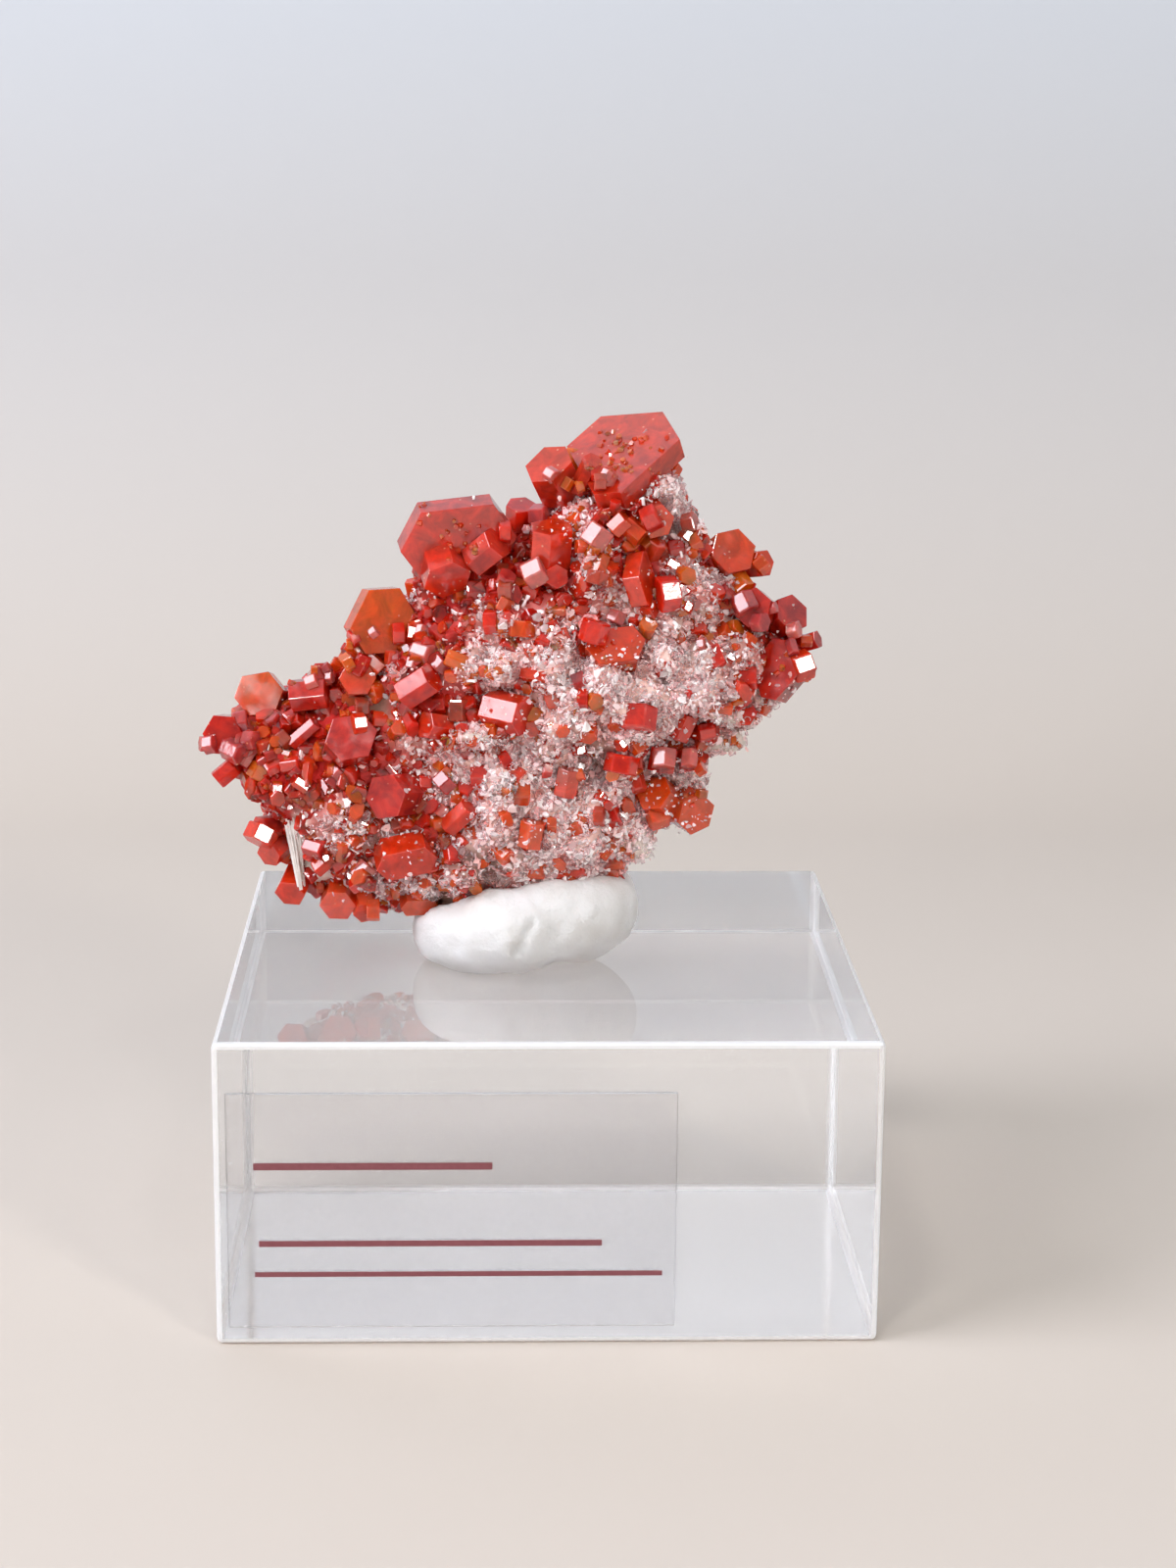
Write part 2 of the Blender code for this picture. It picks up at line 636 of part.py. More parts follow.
def main():
    clear_scene()
    block = make_block()
    label = make_label()
    body = make_body()
    putty = make_putty()

    skin = tree_of(body)
    clusters = []
    sockets = []
    for name, (colour, crystals) in CRYSTALS.items():
        places = [crystal_place(crystal, skin) for crystal in crystals]
        clusters.append((make_cluster(name, crystals, places), colour))
        sockets.append(make_cluster("socket", crystals, places, FIT_GAP))

    rock = copy_of(body, "matrix_rock")
    combine(rock, make_parting_block(FIT_GAP / 2), "DIFFERENCE")
    crust = copy_of(body, "vanadinite_crust")
    socket_skins = [tree_of(socket) for socket in sockets]
    grow_small_crystals(crust, skin, tree_of(putty), socket_skins)
    combine(crust, make_parting_block(-FIT_GAP / 2), "INTERSECT")
    for socket in sockets:
        combine(crust, socket, "DIFFERENCE", keep_other=True)
        combine(rock, socket, "DIFFERENCE", keep_other=True)
        combine(putty, socket, "DIFFERENCE")
    combine(putty, swollen(body, FIT_GAP), "DIFFERENCE")
    bpy.data.objects.remove(body, do_unlink=True)

    finish(block, ACRYLIC, roughness=0.05)
    finish(label, FILM, roughness=0.2)
    finish(putty, CHALK, roughness=0.6, smooth=True)
    finish(rock, ROCK, roughness=0.85)
    finish(crust, CRUST, roughness=0.4)
    for cluster, colour in clusters:
        finish(cluster, colour, roughness=0.15)


main()
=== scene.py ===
# %% [markdown]
# # Vanadinite on matrix, on its display block
# A small mineral display: red and orange hexagonal vanadinite crystals and clear druse on
# pale matrix, held by a wad of white putty on a block of clear acrylic. The solids come
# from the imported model, in metres, and everything here is built around them.

# %% Load the solids
import json
import math
import random

import bmesh
import bpy
import numpy as np
from mathutils import Matrix, Vector, noise
from mathutils.bvhtree import BVHTree

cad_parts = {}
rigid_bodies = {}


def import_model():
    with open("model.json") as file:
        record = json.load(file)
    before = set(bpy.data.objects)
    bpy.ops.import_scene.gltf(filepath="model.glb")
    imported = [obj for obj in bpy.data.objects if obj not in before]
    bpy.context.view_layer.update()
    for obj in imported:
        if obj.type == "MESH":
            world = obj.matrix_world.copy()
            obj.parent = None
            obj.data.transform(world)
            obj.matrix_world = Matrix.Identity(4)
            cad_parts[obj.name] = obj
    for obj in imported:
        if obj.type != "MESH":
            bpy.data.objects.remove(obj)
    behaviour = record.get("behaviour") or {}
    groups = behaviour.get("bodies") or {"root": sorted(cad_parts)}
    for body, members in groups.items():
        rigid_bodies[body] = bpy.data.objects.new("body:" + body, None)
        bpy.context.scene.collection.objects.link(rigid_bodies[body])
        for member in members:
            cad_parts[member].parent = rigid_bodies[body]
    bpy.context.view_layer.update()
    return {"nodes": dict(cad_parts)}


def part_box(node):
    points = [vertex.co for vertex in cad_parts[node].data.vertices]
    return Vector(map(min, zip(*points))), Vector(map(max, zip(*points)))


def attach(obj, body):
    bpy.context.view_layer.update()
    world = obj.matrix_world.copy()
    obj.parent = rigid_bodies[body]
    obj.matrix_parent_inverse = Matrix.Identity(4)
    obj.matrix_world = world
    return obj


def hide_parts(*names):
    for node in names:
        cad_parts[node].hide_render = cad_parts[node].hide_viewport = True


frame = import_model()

MM = 0.001
DOUBLES_WITHIN = 0.001 * MM

# %% [markdown]
# ## Colours and shader nodes
# Colours are written as the sRGB hex values that a colour picker shows, and one function
# turns them into the linear values that shaders use. A second small function adds a
# shader node together with its settings and links, so that a material reads like a list.
# A third works out how fine a pattern has to be from the real size of its lumps or grains.


# %% Colours and shader nodes
def colour(code):
    """An sRGB hex colour as linear red, green, blue and alpha."""
    parts = [int(code[place:place + 2], 16) / 255 for place in (1, 3, 5)]
    return (*[p / 12.92 if p <= 0.04045 else ((p + 0.055) / 1.055) ** 2.4 for p in parts], 1.0)


def pattern_scale(size):
    """The scale of a pattern whose lumps are this many mm across, to the nearest ten."""
    return round(1.0 / (size * MM), -1)


def new_material(name):
    """An empty material and its main shader."""
    material = bpy.data.materials.new(name)
    material.use_nodes = True
    return material, material.node_tree.nodes["Principled BSDF"]


def plug(owner, node, sockets):
    """Set or link a node's inputs: a value is set, and another node's output is linked."""
    for name, value in sockets.items():
        if isinstance(value, bpy.types.NodeSocket):
            owner.node_tree.links.new(value, node.inputs[name])
        else:
            node.inputs[name].default_value = value


def add_node(owner, kind, sockets=None, **settings):
    """Add a shader node to a material or a world, with its settings and its inputs."""
    node = owner.node_tree.nodes.new("ShaderNode" + kind)
    for name, value in settings.items():
        setattr(node, name, value)
    plug(owner, node, sockets or {})
    return node


print("scale of a pattern with 1 mm lumps:", pattern_scale(1.0))

# %% [markdown]
# ## Pieces and meshes
# A piece is an object at the origin whose mesh already stands in its place, so a pattern
# on object coordinates stays put when the model is exported. Shapes are made as a bmesh,
# Blender's editable mesh, in which the tools of edit mode are called by name. A modifier
# that other steps build on, such as a voxel remesh, is applied on a short-lived draft.


# %% Pieces and meshes
def new_piece(name, mesh, material, stands_for=()):
    """Put a finished mesh in the scene as a piece of the object."""
    mesh.name = name
    piece = bpy.data.objects.new(name, mesh)
    bpy.context.scene.collection.objects.link(piece)
    mesh.materials.clear()
    mesh.materials.append(material)
    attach(piece, "root")
    if stands_for:
        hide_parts(*stands_for)
    mesh.calc_loop_triangles()
    print(f"{name}: {len(mesh.loop_triangles)} triangles")
    return piece


def mesh_from(form):
    """Turn a bmesh into a mesh and free it."""
    mesh = bpy.data.meshes.new("shape")
    form.to_mesh(mesh)
    form.free()
    return mesh


def copy_of(*nodes):
    """A bmesh with a copy of these solids, their loose triangles merged."""
    form = bmesh.new()
    for node in nodes:
        form.from_mesh(frame["nodes"][node].data)
    bmesh.ops.remove_doubles(form, verts=form.verts, dist=DOUBLES_WITHIN)
    return form


def shaped(mesh, *steps):
    """The mesh after these modifiers, each a kind and its settings."""
    draft = bpy.data.objects.new("draft", mesh)
    bpy.context.scene.collection.objects.link(draft)
    for kind, settings in steps:
        step = draft.modifiers.new(kind, kind)
        for name, value in settings.items():
            setattr(step, name, value)
    graph = bpy.context.evaluated_depsgraph_get()
    result = bpy.data.meshes.new_from_object(draft.evaluated_get(graph))
    bpy.data.objects.remove(draft)
    return result


# %% [markdown]
# ## Where things are
# The camera stands a forearm's length away and looks a little down. Places on the
# specimen are written as x and z in millimetres on an upright plane at its front, and
# carried along the sight line until they meet the surface, so each sits on what grows
# behind it. Full 3-D places would need a depth for each, which is hard to judge by eye,
# while a sight line finds the depth by itself.

# %% The camera's place, and sight lines from it
EYE = Vector((-4.2, -214.1, 84.2)) * MM
FRONT = -6.0 * MM
CAMERA_PITCH, CAMERA_YAW, CAMERA_ROLL = 13.23, 1.97, 0.51  # degrees
WINDOW_PLACE = Vector((-0.52, -0.2, 0.42))
LAMP_PLACE = Vector((0.3, -0.45, 0.3))


def sight(x, z):
    """The direction from the eye through a place on the front plane."""
    return (Vector((x * MM, FRONT, z * MM)) - EYE).normalized()


def front_place(point):
    """The x and z on the front plane, in mm, that a point is seen through."""
    share = (FRONT - EYE.y) / (point[1] - EYE.y)
    seen = EYE + (Vector(point) - EYE) * share
    return seen.x / MM, seen.z / MM


def roughly(point, size, offset=0.0):
    """Smooth noise from about -1 to 1, with lumps of this size in mm."""
    return noise.noise(Vector(point) / (size * MM) + Vector((offset, 3.7, 9.1)))


def lumps_at(point, lumps):
    """How far lumps of several sizes push a surface here: each is a size and a push in mm."""
    return sum(roughly(point, size) * push for size, push in lumps)


print("the eye is", round((EYE - Vector((0, FRONT, EYE.z))).length / MM), "mm from the front")

# %% [markdown]
# ## Acrylic block
# The block is cast acrylic (PMMA), sawn and polished on its six faces, with narrow sanded
# bevels. It is optically clear, so its look is mostly refraction and reflection: the
# specimen's mirror image in the top, and pale lines along the edges. A white, matt share
# of its polished faces is painted light, which brightens the block where too little light
# comes through it. A Bevel modifier on a cube would give the same shape. Here the edges
# are bevelled in bmesh, because the new faces can then be marked, and one material can
# polish the sides and sand the bevels.

# %% Acrylic block
BLOCK_LOW, BLOCK_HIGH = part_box("display_block")
BEVEL, BEVEL_SEGMENTS = 0.4 * MM, 3
ACRYLIC_IOR = 1.49
POLISHED_ROUGHNESS, SANDED_ROUGHNESS = 0.025, 0.3
# painted light: what the polished faces lack of full clearness is a white, matt share that
# brightens the block
POLISHED_CLEARNESS, SANDED_CLEARNESS = 0.85, 0.45
SQUARE_ON = 0.999  # the largest part of a normal is more than this on the six sides


def cast_acrylic():
    """Polished PMMA whose white, matt share is haze and painted light; sanded bevels scatter
    light.
    """
    material, shader = new_material("cast_acrylic")
    sanded = add_node(material, "Attribute", attribute_name="sanded").outputs["Fac"]
    rough = add_node(material, "MapRange", {
        "Value": sanded, "To Min": POLISHED_ROUGHNESS, "To Max": SANDED_ROUGHNESS})
    clear = add_node(material, "MapRange", {
        "Value": sanded, "To Min": POLISHED_CLEARNESS, "To Max": SANDED_CLEARNESS})
    plug(material, shader, {
        "Base Color": colour("#ffffff"), "Roughness": rough.outputs["Result"],
        "IOR": ACRYLIC_IOR, "Transmission Weight": clear.outputs["Result"],
    })
    return material


def rounded_box(low, high, radius, segments):
    """A box with rounded edges."""
    form = bmesh.new()
    bmesh.ops.create_cube(form, size=1.0)
    bmesh.ops.scale(form, vec=high - low, verts=form.verts)
    bmesh.ops.translate(form, vec=(low + high) / 2, verts=form.verts)
    bmesh.ops.bevel(
        form, geom=form.edges[:], affect="EDGES", offset=radius, segments=segments,
        profile=0.5, material=-1,
    )
    return form


block_mesh = mesh_from(rounded_box(BLOCK_LOW, BLOCK_HIGH, BEVEL, BEVEL_SEGMENTS))
sanded = block_mesh.attributes.new("sanded", "FLOAT", "FACE")
for face, value in zip(block_mesh.polygons, sanded.data):
    value.value = float(max(abs(part) for part in face.normal) < SQUARE_ON)
new_piece("acrylic_block", block_mesh, cast_acrylic(), ["display_block"])

# %% [markdown]
# ## Putty
# White mineral putty is chalk in a soft binder: matt, slightly translucent, pressed by
# fingers. It could be sculpted, or simulated as a soft body, but neither is easy to
# repeat exactly. The solid gives its outline here. A finer skin is wrapped round it by a
# voxel remesh, smoothed, and pushed in and out by noise for the lumps that fingers leave,
# with a crease where two lobes were folded together.

# %% Putty's finish
# how large the pattern's wrinkles and stains are, in mm, and how deep the wrinkles look
WRINKLE_SIZE, STAIN_SIZE = 0.91, 3.85
WRINKLE_DEPTH = 0.32 * MM
PUTTY_LIGHT_DEPTH = 1.2 * MM


def chalk_putty():
    """Chalk-filled putty: matt white, with light sinking in a little way."""
    material, shader = new_material("chalk_putty")
    place = add_node(material, "TexCoord").outputs["Object"]
    wrinkle = add_node(material, "TexNoise", {
        "Vector": place, "Scale": pattern_scale(WRINKLE_SIZE), "Detail": 6.0,
        "Roughness": 0.65})
    stain = add_node(material, "TexNoise", {
        "Vector": place, "Scale": pattern_scale(STAIN_SIZE), "Detail": 2.0})
    tone = add_node(material, "MapRange", {
        "Value": stain.outputs["Fac"], "From Min": 0.35, "From Max": 0.7})
    paint = add_node(material, "Mix", {
        0: tone.outputs["Result"], 6: colour("#eeeeee"), 7: colour("#e0dedb")},
        data_type="RGBA")
    relief = add_node(material, "Bump", {
        "Height": wrinkle.outputs["Fac"], "Strength": 0.9, "Distance": WRINKLE_DEPTH})
    plug(material, shader, {
        "Base Color": paint.outputs[2], "Roughness": 0.8, "Normal": relief.outputs["Normal"],
        "Subsurface Weight": 0.6, "Subsurface Radius": (1.0, 0.97, 0.94),
        "Subsurface Scale": PUTTY_LIGHT_DEPTH,
    })
    return material


# %% Putty's shape
PUTTY_VOXEL = 0.28 * MM
PUTTY_LUMPS = [(3.0, 0.2), (1.2, 0.12), (0.5, 0.05)]  # sizes and pushes in mm
CREASE = [(-1.0, 24.9), (-1.5, 24.0), (-2.0, 22.8)]  # x and z on the front plane in mm
CREASE_WIDTH, CREASE_DEPTH = 0.35, 0.45
CLOSING = 0.35  # mm that the top rises to meet the specimen
SETTLING = 0.25 * MM  # how far the foot may reach below the solid, towards the block


def distance_to_path(x, z, path):
    """How far a place is from a line of points, all on the front plane in mm."""
    place = Vector((x, z))
    nearest = math.inf
    for start, end in zip(path, path[1:]):
        start, end = Vector(start), Vector(end)
        side = end - start
        along = min(max((place - start).dot(side) / side.length_squared, 0.0), 1.0)
        nearest = min(nearest, (place - start - side * along).length)
    return nearest


def make_putty():
    """The kneaded wad with its crease."""
    mesh = shaped(
        mesh_from(copy_of("mounting_putty")),
        ("REMESH", {"mode": "VOXEL", "voxel_size": PUTTY_VOXEL}),
        ("SMOOTH", {"factor": 0.8, "iterations": 6}),
    )
    form = bmesh.new()
    form.from_mesh(mesh)
    form.normal_update()
    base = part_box("mounting_putty")[0].z
    for vertex in form.verts:
        x, z = front_place(vertex.co)
        push = lumps_at(vertex.co, PUTTY_LUMPS)
        if vertex.normal.y < 0:
            gap = distance_to_path(x, z, CREASE)
            push -= CREASE_DEPTH * math.exp(-(gap / CREASE_WIDTH) ** 2)
        push += CLOSING * max(vertex.normal.z, 0.0)
        vertex.co += vertex.normal * push * MM
        vertex.co.z = max(vertex.co.z, base - SETTLING)
    for face in form.faces:
        face.smooth = True
    return mesh_from(form)


new_piece("kneaded_putty", make_putty(), chalk_putty(), ["mounting_putty"])

# %% [markdown]
# ## Ground of the specimen
# Under the crystals lies pale matrix, stained red between the crystals, white to tan at
# the broken rim and on the back. Rock could be a displaced grid, but this one has a front
# and a back, so the two solids of rock and crust are wrapped in one skin and roughened.
# What grows where is written as soft-edged ellipses, because the same zones then steer
# the ground's colour, the druse and the small crystals: from the left wing, deep red, to
# the right, where clear druse covers most of it.

# %% Zones, written as ellipses on the front plane in mm
# x, z, half width, half height, strength
DRUSE_ZONES = [
    (8.6, 33.5, 3.4, 4.6, 1.0),
    (6.5, 42.4, 8.5, 6.0, 1.0),
    (0.0, 35.5, 8.5, 5.0, 1.0),
    (-1.0, 30.0, 8.0, 2.6, 1.0),
    (-10.0, 27.7, 4.5, 1.1, 0.9),
    (-13.5, 32.0, 3.0, 2.0, 0.8),
    (-3.6, 43.8, 3.6, 1.7, 0.9),
    (-4.0, 46.6, 1.9, 1.6, 0.6),
    (1.6, 53.4, 1.6, 2.4, 0.7),
    (3.4, 51.2, 1.4, 2.0, 0.7),
    (9.4, 55.0, 2.4, 2.4, 1.2),
    (9.4, 50.6, 1.4, 1.4, 0.6),
    (11.8, 49.9, 2.2, 0.9, 0.9),
    (11.0, 46.6, 3.0, 2.2, 0.9),
    (14.6, 41.4, 3.0, 2.2, 0.8),
    (5.2, 48.8, 1.6, 1.2, 0.6),
    (-10.4, 43.4, 1.0, 0.6, 0.5),
    (-9.0, 48.8, 1.0, 0.8, 0.5),
    (-8.0, 38.4, 2.6, 0.9, 0.7),
]
BARE_ZONES = [
    (13.6, 38.4, 3.4, 1.9, 1.3),
    (6.9, 30.6, 1.4, 2.2, 1.1),
    (17.2, 41.2, 2.0, 1.8, 1.0),
    (-17.5, 30.0, 0.7, 3.2, 1.2),
    (-16.4, 28.2, 1.2, 1.6, 0.9),
    (10.9, 36.2, 0.9, 1.8, 1.0),
    (-5.2, 38.8, 2.4, 0.6, 0.8),
]
BROWN_ZONES = [
    (-7.2, 26.2, 1.6, 1.0, 1.2),
    (-11.7, 40.9, 0.8, 1.4, 1.0),
    (3.6, 37.4, 1.2, 2.4, 0.7),
    (-4.0, 29.4, 3.0, 1.4, 0.8),
    (11.6, 46.4, 2.6, 1.6, 0.5),
    (-13.0, 31.0, 1.6, 1.2, 0.6),
]
ZONE_FALL = 0.7  # how much of a zone's strength is lost by its rim, as a power of e


def in_zones(zones, x, z):
    """How strongly a place lies in any of these zones, from 0 to about 1."""
    most = 0.0
    for centre_x, centre_z, half_width, half_height, strength in zones:
        across = (x - centre_x) / half_width
        upright = (z - centre_z) / half_height
        reach = across * across + upright * upright
        most = max(most, strength * math.exp(-ZONE_FALL * reach ** 2))
    return most


print("zones:", len(DRUSE_ZONES), "druse,", len(BARE_ZONES), "bare,", len(BROWN_ZONES), "brown")

# %% Ledges and humps of the ground
# x, z, half width and half height on the front plane, and how far it stands out, in mm
GROUND_HUMPS = [
    (-6.4, 38.4, 1.3, 0.5, 0.7), (-4.6, 38.7, 1.5, 0.45, 0.8), (-3.2, 38.9, 0.8, 0.4, 0.6),
    (4.0, 42.7, 1.5, 1.4, 0.9), (0.6, 44.6, 1.0, 0.7, 0.6), (9.3, 41.6, 1.6, 1.0, 0.7),
    (9.1, 56.4, 0.9, 0.8, 0.8), (10.1, 55.5, 0.9, 0.8, 0.8), (10.9, 54.4, 0.8, 0.8, 0.7),
    (11.6, 53.4, 0.7, 0.7, 0.6), (12.6, 38.4, 1.5, 0.9, 0.8), (14.4, 38.9, 1.0, 0.8, 0.7),
    (6.8, 30.8, 0.9, 1.3, 0.7), (-9.6, 36.0, 0.5, 0.6, 0.6), (-11.2, 26.2, 0.5, 0.5, 0.6),
    (-12.8, 31.4, 1.4, 1.1, 0.6), (0.0, 31.2, 1.2, 0.8, 0.6), (-3.6, 33.6, 0.9, 0.7, 0.5),
]


def rock_meets(tree, x, z):
    """Where the sight line through a place on the front plane meets a surface."""
    spot = tree.ray_cast(EYE, sight(x, z))[0]
    if spot is None:
        spot = tree.find_nearest(Vector((x * MM, FRONT, z * MM)))[0]
    return spot


def with_humps(form):
    """Add the humps to the rock, as balls that the skin is then wrapped round."""
    tree = BVHTree.FromBMesh(form)
    for x, z, half_width, half_height, proud in GROUND_HUMPS:
        spot = rock_meets(tree, x, z)
        size = Vector((half_width, proud, half_height)) * MM
        bmesh.ops.create_icosphere(
            form, subdivisions=3, radius=1.0,
            matrix=Matrix.Translation(spot) @ Matrix.Diagonal((*size, 1.0)))
    return form


print("humps:", len(GROUND_HUMPS))

# %% Colours of the ground
STAIN_RED = Vector(colour("#c4160c")[:3])
DRUSE_PINK = Vector(colour("#fddcd2")[:3])
MATRIX_CREAM = Vector(colour("#f3eae0")[:3])
MATRIX_BROWN = Vector(colour("#8e6c5c")[:3])
MATRIX_TAN = Vector(colour("#c9ab8c")[:3])
# how far the zones' edges waver, and the size of the waves, in mm
WAVER, WAVER_SIZE = 0.8, 1.6
# stains on the broken rock: colour, strength, size in mm, a shift of the noise, and the
# noise at which the stain begins and is full
ROCK_STAINS = [
    (MATRIX_TAN, 1.0, 2.4, 9.0, -0.1, 0.5),
    (MATRIX_BROWN, 0.7, 1.5, 14.0, 0.1, 0.6),
    (STAIN_RED, 0.5, 3.5, 21.0, 0.25, 0.6),
]


def share_of(value, low, high):
    """How far a value is on its way from low to high, held between 0 and 1."""
    return min(max((value - low) / (high - low), 0.0), 1.0)


def ground_tint(point, normal):
    """The ground's colour at a place: red between crystals, pale elsewhere."""
    x, z = front_place(point)
    x += roughly(point, WAVER_SIZE) * WAVER
    z += roughly(point, WAVER_SIZE, 5.0) * WAVER
    tint = STAIN_RED.lerp(DRUSE_PINK, min(in_zones(DRUSE_ZONES, x, z), 1.0))
    tint = tint.lerp(MATRIX_CREAM, min(in_zones(BARE_ZONES, x, z), 1.0))
    tint = tint.lerp(MATRIX_BROWN, min(in_zones(BROWN_ZONES, x, z), 1.0))
    rock = MATRIX_CREAM
    for stain, strength, size, shift, begins, full in ROCK_STAINS:
        rock = rock.lerp(stain, strength * share_of(roughly(point, size, shift), begins, full))
    backward = share_of(normal.y + roughly(point, 2.6) * 0.9, 0.0, 0.4)
    return tint.lerp(rock, backward)


def set_tints(mesh, tints):
    """Store one colour for each vertex."""
    layer = mesh.color_attributes.new("tint", "FLOAT_COLOR", "POINT")
    rows = np.ones((len(mesh.vertices), 4), np.float32)
    rows[:, :3] = tints
    layer.data.foreach_set("color", rows.ravel())


# %% Shape of the ground
GROUND_NODES = ("matrix_rock", "vanadinite_crust")
GROUND_SWELL = 0.12 * MM
GROUND_VOXEL = 0.34 * MM
GROUND_LUMPS = [(2.2, 0.25), (0.9, 0.2)]  # sizes and pushes in mm
GROUND_SINK = 0.15  # mm that the skin sinks, so that the crystals stand clear of it


def make_ground():
    """The matrix under the crystals, lumpy and porous."""
    mesh = shaped(
        mesh_from(with_humps(copy_of(*GROUND_NODES))),
        ("DISPLACE", {"strength": GROUND_SWELL, "mid_level": 0.0}),
        ("REMESH", {"mode": "VOXEL", "voxel_size": GROUND_VOXEL}),
        ("SMOOTH", {"factor": 0.6, "iterations": 4}),
    )
    form = bmesh.new()
    form.from_mesh(mesh)
    form.normal_update()
    tints = []
    for vertex in form.verts:
        tints.append(ground_tint(vertex.co, vertex.normal))
        push = lumps_at(vertex.co, GROUND_LUMPS) - GROUND_SINK
        vertex.co += vertex.normal * push * MM
    for face in form.faces:
        face.smooth = True
    mesh = mesh_from(form)
    set_tints(mesh, tints)
    return mesh


# %% Finish of the ground
# sizes in mm; the real grains are finer, and wouldn't show
GRAIN_SIZE, PATCH_SIZE = 0.417, 1.43
GRAIN_DEPTH = 0.25 * MM


def stained_matrix():
    """Fine-grained matrix: rough broken rock, its grains stained here and there."""
    material, shader = new_material("stained_matrix")
    place = add_node(material, "TexCoord").outputs["Object"]
    tint = add_node(material, "Attribute", attribute_name="tint")
    grain = add_node(material, "TexNoise", {
        "Vector": place, "Scale": pattern_scale(GRAIN_SIZE), "Detail": 5.0,
        "Roughness": 0.7})
    patch = add_node(material, "TexNoise", {
        "Vector": place, "Scale": pattern_scale(PATCH_SIZE), "Detail": 3.0})
    light = add_node(material, "MapRange", {
        "Value": patch.outputs["Fac"], "From Min": 0.3, "From Max": 0.7,
        "To Min": 0.85, "To Max": 1.1})
    paint = add_node(material, "VectorMath", {
        0: tint.outputs["Color"], "Scale": light.outputs["Result"]}, operation="SCALE")
    relief = add_node(material, "Bump", {
        "Height": grain.outputs["Fac"], "Strength": 0.8, "Distance": GRAIN_DEPTH})
    plug(material, shader, {
        "Base Color": paint.outputs["Vector"], "Roughness": 0.75,
        "Normal": relief.outputs["Normal"],
    })
    return material


matrix_finish = stained_matrix()
ground = new_piece("matrix_ground", make_ground(), matrix_finish, GROUND_NODES)

# %% [markdown]
# ## Vanadinite
# Vanadinite is a lead mineral that grows as six-sided prisms with natural faces: flat,
# glossy, with fine growth marks. It is translucent, and light that sinks into it comes
# out orange. Clear glass with coloured absorption would be the plain way to make it, but
# it goes brown where many crystals stand behind each other. So most of the colour is
# light that spreads below the surface, and only a part of the light goes through.
# The real index of refraction is about 2.4, which in a plain studio turns each face to a
# mirror of the pale room. The index used, 1.85, keeps the deep red in view.

# %% Vanadinite's finish
# sizes in mm: clouds inside, pale flecks that are inclusions and painted sparkle, dull
# patches, and growth marks, which are drawn coarser than the real ones so that they show
CLOUD_SIZE, FLECK_AND_SPARKLE_SPACING, WEAR_SIZE, MARK_SIZE = 1.33, 0.357, 1.11, 0.556
FLECK_AND_SPARKLE_SHARE = 0.07
MARK_DEPTH = 0.05 * MM
CRYSTAL_LIGHT_DEPTH = 1.6 * MM


def vanadinite(name, roughness_low, roughness_high):
    """Natural vanadinite faces over a red body that light sinks into."""
    material, shader = new_material(name)
    place = add_node(material, "TexCoord").outputs["Object"]
    tint = add_node(material, "Attribute", attribute_name="tint")
    cloud = add_node(material, "TexNoise", {
        "Vector": place, "Scale": pattern_scale(CLOUD_SIZE), "Detail": 5.0,
        "Roughness": 0.65, "Distortion": 0.6})
    share = add_node(material, "MapRange", {
        "Value": cloud.outputs["Fac"], "From Min": 0.36, "From Max": 0.64})
    deep = add_node(material, "VectorMath", {
        0: tint.outputs["Color"], "Scale": 0.6}, operation="SCALE")
    glow = add_node(material, "Mix", {
        0: 0.3, 6: tint.outputs["Color"], 7: colour("#ff441a")}, data_type="RGBA")
    paint = add_node(material, "Mix", {
        0: share.outputs["Result"], 6: deep.outputs["Vector"], 7: glow.outputs[2]},
        data_type="RGBA")
    # pale flecks, partly inclusions and partly painted sparkle: peach dots in the base colour
    # stand in for tiny glinting faces
    grains = add_node(material, "TexVoronoi", {
        "Vector": place, "Scale": pattern_scale(FLECK_AND_SPARKLE_SPACING)})
    chosen = add_node(material, "SeparateColor", {"Color": grains.outputs["Color"]})
    few = add_node(material, "Math", {
        0: chosen.outputs["Red"], 1: 1.0 - FLECK_AND_SPARKLE_SHARE}, operation="GREATER_THAN")
    middle = add_node(material, "MapRange", {
        "Value": grains.outputs["Distance"], "From Min": 0.08, "From Max": 0.3,
        "To Min": 0.7, "To Max": 0.0})
    fleck_and_sparkle = add_node(material, "Math", {
        0: few.outputs["Value"], 1: middle.outputs["Result"]}, operation="MULTIPLY")
    flecked_and_sparkled = add_node(material, "Mix", {
        0: fleck_and_sparkle.outputs["Value"], 6: paint.outputs[2], 7: colour("#ffc49a")},
        data_type="RGBA")
    wear = add_node(material, "TexNoise", {
        "Vector": place, "Scale": pattern_scale(WEAR_SIZE), "Detail": 4.0})
    gloss = add_node(material, "MapRange", {
        "Value": wear.outputs["Fac"], "From Min": 0.35, "From Max": 0.7,
        "To Min": roughness_low, "To Max": roughness_high})
    marks = add_node(material, "TexNoise", {
        "Vector": place, "Scale": pattern_scale(MARK_SIZE), "Detail": 3.0,
        "Roughness": 0.6})
    relief = add_node(material, "Bump", {
        "Height": marks.outputs["Fac"], "Strength": 0.12, "Distance": MARK_DEPTH})
    plug(material, shader, {
        "Base Color": flecked_and_sparkled.outputs[2], "Roughness": gloss.outputs["Result"],
        "IOR": 1.85, "Normal": relief.outputs["Normal"], "Transmission Weight": 0.22,
        "Subsurface Weight": 0.75, "Subsurface Radius": (1.0, 0.12, 0.05),
        "Subsurface Scale": CRYSTAL_LIGHT_DEPTH,
    })
    return material


